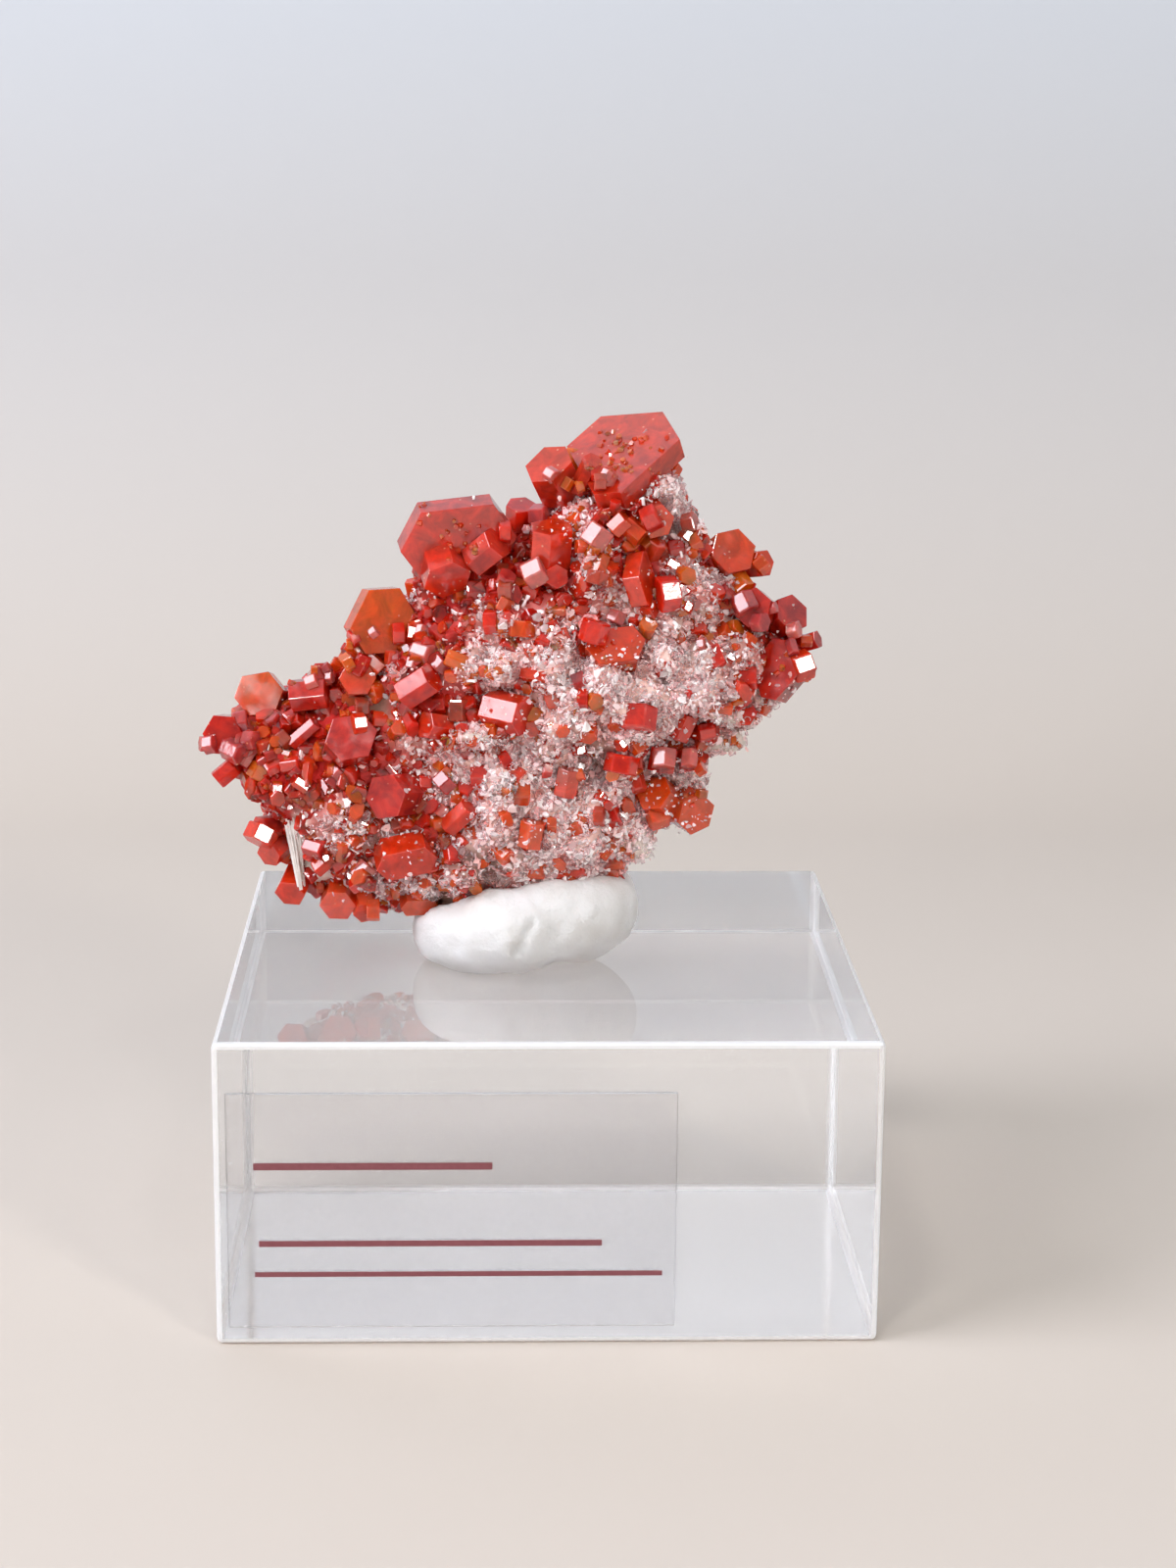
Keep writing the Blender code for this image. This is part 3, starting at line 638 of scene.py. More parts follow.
# %% [markdown]
# ## Large crystals
# Each large crystal is a solid already. Its copy gets narrow bevels, which catch the
# light along the edges as natural edges do. A Bevel modifier can't tell outward edges
# from the inward ones where prisms have grown together, so the edges are chosen by their
# angle in bmesh. Each crystal has two colours, blended by height: partly colour zoning,
# and partly painted sheen, where a paler, pinker top stands in for the pale room that
# the upper faces mirror. Faces seen aslant from the eye are painted darker, a painted
# shade for the greater depth of crystal seen there, stored in the same colours.

# %% Colours of the crystals
DEEP = "#c2140e"
RED = "#e82410"
SCARLET = "#f23e16"
ORANGE = "#fa5e18"
AMBER = "#fa7a1c"
MAUVE = "#cc302e"
BROWN = "#b4503a"
# the colour of each large crystal at its top and at its foot; a paler top is partly painted
# sheen
LARGE_TINTS_WITH_SHEEN = {
    "summit_crystal": ("#e2542f", "#e02a14"), "shoulder_crystal": ("#e04e40", "#ea2c0c"),
    "amber_crystal": (AMBER, "#ea4a30"), "ridge_crystal": (RED, RED),
    "upper_middle_crystal": (SCARLET, RED), "crown_twin_crystal": (SCARLET, ORANGE),
    "leaning_crystal": (SCARLET, SCARLET), "upper_right_crystal": (ORANGE, SCARLET),
    "right_tip_crystal": (RED, DEEP), "right_dark_crystal": (MAUVE, DEEP),
    "right_edge_crystal": (RED, SCARLET), "right_middle_crystal": (SCARLET, RED),
    "right_block_crystal": (DEEP, DEEP), "lower_right_crystal": (ORANGE, ORANGE),
    "round_crystal": (SCARLET, ORANGE), "centre_crystal": (SCARLET, RED),
    "upright_rod_crystal": ("#d0583c", SCARLET), "lower_centre_crystal": (ORANGE, ORANGE),
    "wing_amber_crystal": ("#e87030", "#e04e28"), "wing_block_crystal": (MAUVE, RED),
    "wing_tip_crystal": (DEEP, RED), "pink_rod_crystal": (MAUVE, RED),
    "wing_hexagon_crystal": (MAUVE, MAUVE), "left_pink_hexagon": (MAUVE, MAUVE),
    "left_middle_crystal": (SCARLET, RED), "left_upper_crystal": (RED, RED),
    "rhomb_crystal": (SCARLET, SCARLET), "foot_slab_crystal": (SCARLET, SCARLET),
    "foot_left_crystal": (ORANGE, SCARLET), "foot_corner_crystal": (SCARLET, SCARLET),
    "left_mirror_crystal": (MAUVE, SCARLET), "foot_salmon_crystal": (ORANGE, ORANGE),
}
print("large crystals:", len(LARGE_TINTS_WITH_SHEEN))

# %% Large crystals
CRYSTAL_BEVEL = 0.05 * MM
FLAT_ANGLE = math.radians(4)
EDGE_ANGLE = math.radians(25)
# painted shade: faces seen edge on from the eye are painted darker, down to this share
ASLANT_PAINTED_SHADE = 0.5  # the share of its colour that a face keeps when seen edge on
SQUARE_FACING = 0.75  # faces turned to the eye more than this keep all of it


def bevelled_crystal(node):
    """A copy of a crystal solid with narrow bevels on its outward edges."""
    form = copy_of(node)
    bmesh.ops.dissolve_limit(
        form, angle_limit=FLAT_ANGLE, verts=form.verts, edges=form.edges)
    sharp = [
        edge for edge in form.edges
        if edge.is_manifold and edge.calc_face_angle_signed() > EDGE_ANGLE
    ]
    bmesh.ops.bevel(
        form, geom=sharp, affect="EDGES", offset=CRYSTAL_BEVEL, segments=2,
        profile=0.5, material=-1, clamp_overlap=True,
    )
    mesh = mesh_from(form)
    mesh.shade_flat()
    return mesh


def tints_with_painted_sheen_and_shade(mesh, top, foot):
    """A colour for each vertex, from the foot's to the top's, with painted shade on faces seen
    aslant.
    """
    heights = np.array([vertex.co.z for vertex in mesh.vertices])
    share = (heights - heights.min()) / np.ptp(heights)
    top, foot = np.array(colour(top)[:3]), np.array(colour(foot)[:3])
    widest = np.zeros(len(mesh.vertices))
    facing = np.zeros(len(mesh.vertices))
    for polygon in mesh.polygons:
        to_eye = (EYE - polygon.center).normalized()
        for index in polygon.vertices:
            if polygon.area > widest[index]:
                widest[index] = polygon.area
                facing[index] = polygon.normal.dot(to_eye)
    # painted shade: faces turned away from the eye keep less of their colour
    painted_shade = ASLANT_PAINTED_SHADE + (1.0 - ASLANT_PAINTED_SHADE) * np.clip(facing / SQUARE_FACING, 0.0, 1.0)
    return (foot + (top - foot) * share[:, None]) * painted_shade[:, None]


large_finish = vanadinite("vanadinite_large", 0.05, 0.22)
for node, (top, foot) in LARGE_TINTS_WITH_SHEEN.items():
    crystal_mesh = bevelled_crystal(node)
    set_tints(crystal_mesh, tints_with_painted_sheen_and_shade(crystal_mesh, top, foot))
    new_piece(f"{node}_bevelled", crystal_mesh, large_finish, [node])

# %% [markdown]
# ## Small crystals
# Thousands of small prisms grow over the front. Geometry nodes or instances could scatter
# them, but here every copy needs its own colour, and a joined mesh exports as it is. One
# hexagonal prism is made with bmesh operators, and copies of it, each with its own place,
# size and colour, are joined in one mesh. Tiny copies have plain edges, and larger ones
# have bevels.


# %% Templates and joining
def prism_template(bevel=0.0):
    """A hexagonal prism one unit across from the axis to an edge and one unit long."""
    form = bmesh.new()
    bmesh.ops.create_cone(
        form, cap_ends=True, segments=6, radius1=1.0, radius2=1.0, depth=1.0)
    if bevel:
        bmesh.ops.bevel(
            form, geom=form.edges[:], affect="EDGES", offset=bevel, segments=1,
            profile=0.5, material=-1,
        )
    return mesh_from(form)


def joined_copies(template, places, tints=(), smooth=False):
    """Copies of a small mesh, one for each matrix and colour, joined in one mesh."""
    shape = np.array([vertex.co[:] + (1.0,) for vertex in template.vertices])
    corners = np.array([loop.vertex_index for loop in template.loops])
    starts = np.array([face.loop_start for face in template.polygons])
    count = len(places)
    points = np.einsum("cij,vj->cvi", np.array(places), shape)[:, :, :3]
    shift = np.arange(count)[:, None]
    mesh = bpy.data.meshes.new("copies")
    mesh.vertices.add(count * len(shape))
    mesh.vertices.foreach_set("co", points.astype(np.float32).ravel())
    mesh.loops.add(count * len(corners))
    mesh.loops.foreach_set("vertex_index", (corners + shift * len(shape)).ravel())
    mesh.polygons.add(count * len(starts))
    mesh.polygons.foreach_set("loop_start", (starts + shift * len(corners)).ravel())
    mesh.update(calc_edges=True)
    mesh.validate()
    if smooth:
        mesh.shade_smooth()
    else:
        mesh.shade_flat()
    if len(tints):
        rows = [colour(tint)[:3] for tint in tints]
        set_tints(mesh, np.repeat(np.array(rows), len(shape), axis=0))
    return mesh


def turned_to(axis, roll):
    """A rotation that brings Z to the axis, after a roll round it."""
    return axis.to_track_quat("Z", "Y").to_matrix() @ Matrix.Rotation(roll, 3, "Z")


def placed(centre, rotation, size):
    """The matrix of a copy."""
    return Matrix.Translation(centre) @ rotation.to_4x4() @ Matrix.Diagonal((*size, 1.0))


print("faces of a bevelled prism:", len(prism_template(0.07).polygons))


# %% Points on the ground
def points_on(mesh, count, chance):
    """Random points on a mesh with their normals, even by area."""
    mesh.calc_loop_triangles()
    triangles = mesh.loop_triangles
    areas = np.array([triangle.area for triangle in triangles])
    sums = np.cumsum(areas)
    found = []
    for pick in sorted(chance.uniform(0, sums[-1]) for _ in range(count)):
        triangle = triangles[int(min(np.searchsorted(sums, pick), len(areas) - 1))]
        a, b, c = [mesh.vertices[index].co for index in triangle.vertices]
        u, v = chance.random(), chance.random()
        if u + v > 1:
            u, v = 1 - u, 1 - v
        found.append((a + (b - a) * u + (c - a) * v, triangle.normal.copy()))
    return found


def any_direction(chance):
    """A random direction."""
    height = chance.uniform(-1, 1)
    turn = chance.uniform(0, 2 * math.pi)
    flat = math.sqrt(1 - height * height)
    return Vector((flat * math.cos(turn), flat * math.sin(turn), height))


# %% How the small crystals are spread
SMALL_TRIES = 9000
BACK_FACING, BACK_SHARE = 0.25, 0.05  # few crystals grow on the back
DRUSE_CLEARS, BARE_CLEARS = 0.94, 0.97  # the share that the zones keep free of crystals
TINY_REACH, STOUT_REACH, TINY_SHARE = (0.16, 0.36), (0.36, 0.7), 0.65  # half widths in mm
SLENDER = (1.4, 3.2)  # length over half width
STRETCH = (0.75, 1.25)
LEAN = 0.9
ROOTED = 0.12 * MM  # how deep a crystal's middle sits
STOUT_BEVEL = 0.07  # of its half width
SMALL_TINTS = [RED, RED, SCARLET, DEEP, DEEP, MAUVE, ORANGE]
DRUSE_SIDE_TINTS = [ORANGE, ORANGE, SCARLET, AMBER, RED]
print("tries:", SMALL_TRIES)

# %% Small crystals over the front
small_finish = vanadinite("vanadinite_small", 0.04, 0.14)
chance = random.Random(7)
tiny, stout = [], []
for point, normal in points_on(ground.data, SMALL_TRIES, chance):
    x, z = front_place(point)
    behind = normal.y > BACK_FACING
    if behind and chance.random() > BACK_SHARE:
        continue
    druse = min(in_zones(DRUSE_ZONES, x, z), 1.0)
    bare = min(max(in_zones(BARE_ZONES, x, z), in_zones(BROWN_ZONES, x, z)), 1.0)
    if chance.random() < max(DRUSE_CLEARS * druse, BARE_CLEARS * bare):
        continue
    reach = chance.uniform(*(TINY_REACH if chance.random() < TINY_SHARE else STOUT_REACH))
    length = reach * chance.uniform(*SLENDER)
    axis = (normal + any_direction(chance) * LEAN).normalized()
    rotation = turned_to(axis, chance.uniform(0, math.pi / 3))
    stretch = chance.uniform(*STRETCH)
    size = Vector((reach * stretch, reach / stretch, length)) * MM
    tint = chance.choice(DRUSE_SIDE_TINTS if druse > 0.5 else SMALL_TINTS)
    group = tiny if reach < STOUT_REACH[0] else stout
    group.append((placed(point - normal * ROOTED, rotation, size), tint))
for name, group, bevel in (
    ("tiny_crystals", tiny, 0.0), ("stout_crystals", stout, STOUT_BEVEL),
):
    mesh = joined_copies(prism_template(bevel), *zip(*group))
    new_piece(name, mesh, small_finish)
    print(name, len(group))

# %% [markdown]
# ## Crystals placed one by one
# The crystals that a viewer notices are set one by one: small bars, cubes and plates on the
# front. Each is a row of x, z, the width of the side that shows, length and direction,
# in mm and degrees on the front plane. A sight line finds what it grows on. One looks
# white when its face mirrors the lamp and pink when it mirrors the window. Painting them
# white would look wrong from any other side, so the faces of those two groups are turned
# halfway between the viewer and that light instead, and do what a mirror does.
# The bars that mirror the window, and the mauve bars, are also coloured paler pink and mauve
# than the red body: painted sheen, on top of what their faces mirror.

# %% Rows of crystals
LAMP_LIT = [
    (-20.2, 31.5, 1.3, 1.3, 60),
    (-9.5, 46.0, 0.9, 0.9, -8), (-13.2, 39.6, 0.8, 1.0, 10), (-8.1, 44.0, 0.4, 0.5, 30),
    (-10.6, 40.3, 0.4, 0.5, 30), (-8.0, 38.1, 0.5, 0.5, 40), (-17.3, 35.2, 0.5, 1.2, -35),
    (-12.9, 32.4, 0.5, 0.6, -15), (-9.1, 32.5, 0.3, 0.3, 0), (-6.7, 36.5, 0.3, 0.3, 0),
    (-6.9, 47.2, 0.25, 0.6, 90), (-15.7, 29.8, 0.5, 0.5, 30), (2.3, 37.7, 0.7, 0.8, 90),
    (9.8, 48.0, 0.5, 0.8, 60), (5.4, 38.2, 0.6, 0.8, 40), (8.7, 50.9, 0.6, 1.0, -30),
    (2.9, 49.0, 0.5, 0.9, -30), (11.9, 44.8, 0.5, 0.7, -30), (12.9, 44.4, 0.5, 0.6, -30),
    (17.9, 43.8, 1.2, 1.5, 20), (0.3, 46.4, 0.4, 0.5, 5),
]
WINDOW_LIT = [
    (-12.1, 46.1, 0.5, 0.6, 30), (-8.8, 46.2, 0.5, 0.9, 90), (-9.4, 43.9, 0.6, 0.8, 90),
    (-15.2, 42.9, 0.5, 0.5, 0), (-16.9, 43.5, 0.6, 0.9, 15), (-21.1, 37.1, 0.5, 1.3, 70),
    (-12.4, 41.3, 0.5, 0.5, 0), (-7.8, 41.1, 0.5, 0.7, 60), (-17.0, 33.3, 0.4, 0.7, 80),
    (-7.5, 33.3, 0.7, 0.9, 70), (-12.2, 29.4, 0.5, 0.8, 40), (-21.3, 34.7, 0.6, 0.8, 60),
    (4.8, 47.2, 0.8, 0.9, 80), (10.9, 45.3, 0.6, 0.6, 0), (18.4, 46.5, 0.7, 0.9, 0),
    (8.3, 37.1, 1.0, 1.4, 100), (10.1, 37.1, 0.7, 1.3, 100), (4.0, 57.2, 0.5, 0.8, 70),
    (-8.7, 44.7, 0.8, 1.6, -25), (0.2, 57.2, 0.6, 0.9, -35), (10.3, 48.2, 0.5, 0.9, 70),
    (-0.8, 50.4, 1.2, 1.6, 20), (3.4, 52.9, 1.2, 1.6, 60), (-12.9, 28.8, 1.0, 1.4, 60),
]
# mauve bars: their mauve colour, given below, is a painted sheen of the pale room over red
MAUVE_SHEEN_BARS = [
    (-10.5, 44.2, 0.5, 0.5, 0), (-15.4, 43.5, 0.5, 0.6, 30), (-18.9, 39.3, 0.5, 0.6, 10),
    (-20.8, 38.4, 0.8, 1.0, -20), (-22.0, 37.6, 0.9, 1.8, -25), (-23.6, 38.1, 0.8, 0.9, 0),
    (-17.3, 38.0, 0.6, 1.5, 20), (-14.8, 36.0, 0.6, 0.8, 60), (13.8, 48.2, 1.0, 1.5, -55),
    (17.2, 45.1, 0.5, 1.2, -50), (15.7, 47.9, 0.5, 0.8, 0), (2.3, 42.7, 0.8, 1.0, 20),
    (-7.4, 43.9, 0.9, 1.0, 45), (-0.5, 54.3, 1.0, 1.3, 0), (-21.4, 39.7, 1.0, 1.0, 10),
    (12.4, 49.0, 0.8, 1.2, 20), (14.9, 46.9, 0.8, 1.0, -20), (-7.2, 35.4, 1.0, 1.1, 45),
]
RED_BARS = [
    (-10.4, 46.0, 0.9, 0.9, 0), (-13.5, 45.7, 0.7, 0.7, 20), (-18.0, 36.6, 0.7, 1.4, 10),
    (-3.9, 46.9, 1.0, 1.0, 0), (-7.5, 41.0, 0.8, 0.8, 10), (2.6, 41.4, 0.8, 0.8, 0),
    (4.8, 33.0, 1.0, 1.0, 20), (0.0, 36.3, 0.7, 0.7, 0), (5.3, 36.7, 1.3, 1.4, 80),
    (-3.0, 53.2, 0.9, 0.9, 0), (3.3, 57.4, 0.7, 0.7, 0), (11.0, 51.3, 1.2, 1.5, 20),
    (8.4, 48.9, 1.4, 1.5, 10), (-13.0, 43.8, 0.6, 1.6, 65), (-22.6, 36.0, 0.8, 1.7, 45),
    (-6.7, 30.4, 0.7, 2.0, 92), (3.3, 46.2, 1.1, 1.6, 75), (6.5, 40.0, 1.4, 1.8, 90),
    (11.3, 39.0, 0.7, 1.2, 10), (-8.6, 35.3, 0.7, 0.9, 0), (-2.9, 36.9, 0.8, 0.8, 30),
    (7.2, 54.2, 1.0, 1.2, 30), (14.1, 42.9, 0.9, 1.5, 0), (-4.7, 35.9, 0.9, 1.2, 0),
]
ORANGE_BARS = [
    (9.6, 54.6, 0.8, 1.1, 70), (10.2, 52.6, 0.8, 0.9, 30), (11.0, 51.7, 0.9, 1.3, 10),
    (-1.8, 46.4, 1.1, 1.2, 90), (18.2, 45.6, 0.5, 0.9, 0), (18.7, 44.3, 0.4, 0.6, 70),
    (-1.9, 34.6, 1.0, 1.4, 0), (-2.9, 32.7, 0.8, 0.8, 20), (0.4, 32.3, 0.7, 0.7, 0),
    (-4.6, 34.7, 0.7, 0.7, 0), (-0.7, 28.8, 0.6, 1.2, 0), (11.6, 35.9, 0.6, 0.7, 30),
    (11.2, 35.2, 0.5, 0.6, 80), (12.0, 35.3, 0.4, 0.6, 0), (7.8, 32.2, 1.0, 1.4, 20),
    (14.9, 51.0, 0.8, 1.0, 40), (-19.0, 34.8, 0.7, 0.7, 0), (-16.0, 27.8, 0.6, 0.6, 0),
    (-12.3, 26.0, 0.9, 1.0, 0), (2.4, 35.9, 0.5, 0.6, 20), (4.9, 29.7, 0.8, 1.5, 0),
]
AMBER_GRAINS = [
    (1.8, 57.9, 0.8, 2.4, 80), (1.3, 56.6, 0.5, 0.9, 60), (2.2, 56.4, 0.5, 0.6, 20),
    (-13.8, 45.2, 0.5, 0.5, 0), (-14.5, 44.3, 0.8, 0.8, 30), (-16.3, 43.4, 0.4, 0.5, 0),
    (-20.2, 36.1, 0.9, 1.2, 60), (18.3, 42.9, 0.3, 0.3, 0), (6.0, 29.3, 0.3, 0.3, 0),
    (13.2, 38.4, 0.4, 0.4, 0), (13.6, 38.1, 0.3, 0.3, 40), (12.7, 38.3, 0.3, 0.3, 10),
]
BROWN_CUBES = [
    (9.9, 53.8, 0.9, 1.0, 15), (9.7, 52.9, 0.7, 0.8, 50),
    (-13.0, 40.8, 0.8, 1.0, 0), (-20.1, 38.2, 0.8, 0.9, 45), (-18.6, 38.4, 0.9, 1.0, 45),
    (0.5, 41.4, 0.9, 1.0, 20), (3.8, 32.9, 0.8, 0.8, 0), (-6.3, 40.6, 1.0, 1.6, 90),
    (3.4, 50.0, 0.9, 1.0, 80), (-2.9, 49.1, 0.9, 1.0, 0), (-3.0, 50.4, 0.7, 0.9, 0),
    (7.7, 52.2, 0.8, 1.0, 30), (3.6, 56.7, 0.7, 0.9, 0), (-8.3, 25.6, 0.6, 0.6, 0),
    (-8.9, 33.6, 0.8, 1.1, 50), (-10.5, 32.3, 0.7, 0.9, 20),
]
print("rows of amber grains and brown cubes:", len(AMBER_GRAINS), len(BROWN_CUBES))

# %% The surface that sight lines meet
seen_points, seen_faces = [], []
for piece in bpy.context.scene.objects:
    if piece.name == "matrix_ground" or piece.name.endswith("_bevelled"):
        start = len(seen_points)
        seen_points += [vertex.co[:] for vertex in piece.data.vertices]
        seen_faces += [[start + v for v in face.vertices] for face in piece.data.polygons]
seen_tree = BVHTree.FromPolygons(seen_points, seen_faces)
print("surface that is seen:", len(seen_faces), "faces")

# %% Bars and cubes on what they grow on
# The side that shows is as wide as the hexagon's radius, so a row's width is that radius,
# a little reduced, and reduced once more from front to back.
BAR_SHARE, BAR_THICKNESS = 0.95, 0.9
BAR_PROUD = 0.1  # of the row's width
BAR_BEVEL = 0.08


def bar_place(row, light_place, stray, chance):
    """A prism that shows one long side, which mirrors the light to the viewer."""
    x, z, width, length, turn = row
    spot, to_eye = rock_meets(seen_tree, x, z), -sight(x, z)
    face = to_eye
    if light_place is not None:
        face = (to_eye + (light_place - spot).normalized()).normalized()
    face = (face + any_direction(chance) * stray).normalized()
    axis = Vector((math.cos(math.radians(turn)), 0, math.sin(math.radians(turn))))
    axis = (axis - face * axis.dot(face)).normalized()
    rotation = Matrix((face, axis.cross(face), axis)).transposed()
    centre = spot + to_eye * BAR_PROUD * width * MM
    size = Vector((BAR_THICKNESS, 1.0, length / width)) * width * MM * BAR_SHARE
    return placed(centre, rotation, size)


chance = random.Random(3)
hand_set = []
# rows, colour, the light that their faces mirror, and how far they stray from that
# the pale coral of the window-lit bars and the mauve of the mauve bars are painted sheen, added
# to what their faces mirror
for rows, tint, light_place, stray in (
    (LAMP_LIT, SCARLET, LAMP_PLACE, 0.0), (WINDOW_LIT, "#e4807a", WINDOW_PLACE, 0.08),
    (MAUVE_SHEEN_BARS, "#bc4c50", WINDOW_PLACE, 0.25), (RED_BARS, RED, None, 0.35),
    (ORANGE_BARS, ORANGE, None, 0.3), (AMBER_GRAINS, AMBER, None, 0.3),
    (BROWN_CUBES, BROWN, None, 0.35),
):
    for row in rows:
        hand_set.append((bar_place(row, light_place, stray, chance), tint))
hand_mesh = joined_copies(prism_template(BAR_BEVEL), *zip(*hand_set))
new_piece("hand_set_crystals", hand_mesh, small_finish)
print("crystals set by hand:", len(hand_set))

# %% [markdown]
# ## Specks on the large crystals
# Late in their growth the large crystals were dusted with specks of bright orange
# vanadinite, in small clusters. A pattern in the material could colour them, but real
# specks stand proud and glint, so each is a tiny prism that a sight line sets on its face.

# %% Specks on the faces of the large crystals
SPECK_REACH, SPECK_SLENDER = (0.1, 0.22), (1.2, 2.4)
SPECK_TINTS = ["#ff5a24", "#ff4418", "#ff8040"]
# x, z and width of the middle of a cluster on the front plane, in mm, and its count
SPECK_CLUSTERS = [
    (3.9, 60.0, 0.7, 8), (5.4, 59.2, 0.9, 10), (6.1, 59.4, 0.6, 5), (5.0, 57.7, 0.9, 9),
    (4.6, 58.7, 1.2, 9), (7.6, 59.1, 0.9, 4), (3.0, 57.6, 0.7, 5), (7.0, 57.2, 0.9, 3),
    (-6.0, 53.2, 1.6, 9), (-5.4, 51.9, 1.4, 8), (-8.2, 54.6, 1.2, 5), (4.4, 44.2, 1.2, 7),
    (-18.6, 44.6, 0.8, 4), (-11.0, 39.4, 1.2, 6), (-0.4, 42.6, 1.0, 4), (17.0, 43.4, 1.0, 5),
    (-8.6, 30.6, 1.3, 5), (10.4, 34.2, 0.8, 4),
]
specks = []
for x, z, width, count in SPECK_CLUSTERS:
    for _ in range(count):
        row_x, row_z = chance.gauss(x, width / 2), chance.gauss(z, width / 2)
        spot = rock_meets(seen_tree, row_x, row_z)
        reach = chance.uniform(*SPECK_REACH)
        size = Vector((reach, reach, reach * chance.uniform(*SPECK_SLENDER))) * MM
        rotation = turned_to(any_direction(chance), 0.0)
        specks.append((placed(spot, rotation, size), chance.choice(SPECK_TINTS)))
speck_mesh = joined_copies(prism_template(), *zip(*specks))
new_piece("face_specks", speck_mesh, small_finish)

# %% [markdown]
# ## Fibrous rib
# Low on the left a rib of white fibrous mineral shows between the crystals: a bundle of
# fine fibres that fans out a little at its top. Curves with a bevel would do for fibres
# too, but the prism that is there already, drawn out long, has fewer faces.

# %% Fibrous rib
RIB_TOP, RIB_FOOT = (-18.0, 32.4), (-17.4, 28.0)
RIB_HALF_WIDTH, FIBRE_COUNT, FIBRE_REACH = 0.34, 26, 0.07
SPREAD_TOP, SPREAD_FOOT, RAGGED = 1.5, 0.7, 0.3
RIB_PROUD = (0.1, 0.45)
FIBRE_WHITE = "#f6efe9"
fibres = []
for index in range(FIBRE_COUNT):
    across = chance.uniform(-RIB_HALF_WIDTH, RIB_HALF_WIDTH)
    top, foot = [
        rock_meets(seen_tree, x + across * spread, z + chance.gauss(0, RAGGED))
        for (x, z), spread in ((RIB_TOP, SPREAD_TOP), (RIB_FOOT, SPREAD_FOOT))
    ]
    toward = -sight(*RIB_TOP) * chance.uniform(*RIB_PROUD) * MM
    size = Vector((FIBRE_REACH * MM, FIBRE_REACH * MM, (top - foot).length))
    rotation = turned_to((top - foot).normalized(), index)
    fibres.append((placed((top + foot) / 2 + toward, rotation, size), FIBRE_WHITE))
rib_mesh = joined_copies(prism_template(), *zip(*fibres))
new_piece("fibrous_rib", rib_mesh, matrix_finish)

# %% [markdown]
# ## Clear druse
# Druse is a crust of minute crystals of a colourless mineral. It looks white where many
# faces send light back, and pink where the red beneath shows through. A bumpy glass skin
# would be quicker, but it shows one highlight where the real crust has thousands. So it
# is thousands of thin blades, curled flakes and a few clear lumps. Every other blade is
# milky, because light has to pass fewer clear ones then before it comes back.

# %% A blade and a curled flake
BLADE_THICKNESS = 0.28
CURL_HALF_WIDTH, CURL_TURN, CURL_STEPS = 0.16, math.radians(210), 6


def blade_template():
    """A thin six-sided blade with uneven corners, about one unit from middle to rim."""
    reaches = (1.0, 0.8, 1.1, 0.75, 1.05, 0.85)
    lifts = (0.1, -0.05, 0.0, 0.12, -0.08, 0.04)
    form = bmesh.new()
    ring = bmesh.ops.create_circle(form, cap_ends=True, segments=6, radius=1.0)["verts"]
    for vertex, reach, lift in zip(ring, reaches, lifts):
        vertex.co *= reach
        vertex.co.z += lift
    body = bmesh.ops.extrude_face_region(form, geom=form.faces[:])["geom"]
    top = [item for item in body if isinstance(item, bmesh.types.BMVert)]
    bmesh.ops.translate(form, vec=(0, 0, BLADE_THICKNESS), verts=top)
    bmesh.ops.recalc_face_normals(form, faces=form.faces)
    return mesh_from(form)


def curl_template():
    """A flake that has curled over: a four-sided rim spun a little past a half turn."""
    form = bmesh.new()
    rim = bmesh.ops.create_circle(
        form, cap_ends=True, segments=4, radius=CURL_HALF_WIDTH)["verts"]
    upright = Matrix.Rotation(math.pi / 2, 3, "X")
    bmesh.ops.rotate(form, cent=(0, 0, 0), matrix=upright, verts=rim)
    bmesh.ops.translate(form, vec=(1, 0, 0), verts=rim)
    bmesh.ops.spin(
        form, geom=form.faces[:] + form.edges[:] + form.verts[:], cent=(0, 0, 0),
        axis=(0, 0, 1), steps=CURL_STEPS, angle=CURL_TURN)
    bmesh.ops.recalc_face_normals(form, faces=form.faces)
    return mesh_from(form)


for template in (blade_template(), curl_template()):
    print("faces of a blade or curl:", len(template.polygons))

# %% Finish of the druse
DRUSE_IOR = 1.64  # about that of barite
DRUSE_TINTS = ["#fffafa", "#fff2f3", "#ffe4e4", "#ffd4d0"]
LUMP_TINT = "#fffaf8"


def glassy_druse(name, clear):
    """Colourless mineral in small blades and grains: clear, or milky with fine flaws."""
    material, shader = new_material(name)
    tint = add_node(material, "Attribute", attribute_name="tint")
    plug(material, shader, {
        "Base Color": tint.outputs["Color"], "Roughness": 0.05, "IOR": DRUSE_IOR,
        "Transmission Weight": clear,
    })
    return material


clear_finish = glassy_druse("clear_druse", 0.6)
milky_finish = glassy_druse("milky_druse", 0.0)
lump_finish = glassy_druse("clear_lumps", 1.0)
print("druse finishes:", clear_finish.name, milky_finish.name, lump_finish.name)

# %% Where the druse grows
DRUSE_TRIES = 96000
CRYSTAL_SHARE, CRYSTAL_SIZE = 0.09, 0.65  # how much and how large on the large crystals
chance = random.Random(11)
ground_area = sum(face.area for face in ground.data.polygons)
grown_on = [(ground.data, 1.0)] + [
    (piece.data, CRYSTAL_SHARE) for piece in bpy.context.scene.objects
    if piece.name.endswith("_bevelled")
]
places = []
for mesh, share in grown_on:
    tries = int(DRUSE_TRIES * sum(face.area for face in mesh.polygons) / ground_area)
    places += [(*place, share) for place in points_on(mesh, tries, chance)]
print("places tried for druse:", len(places))

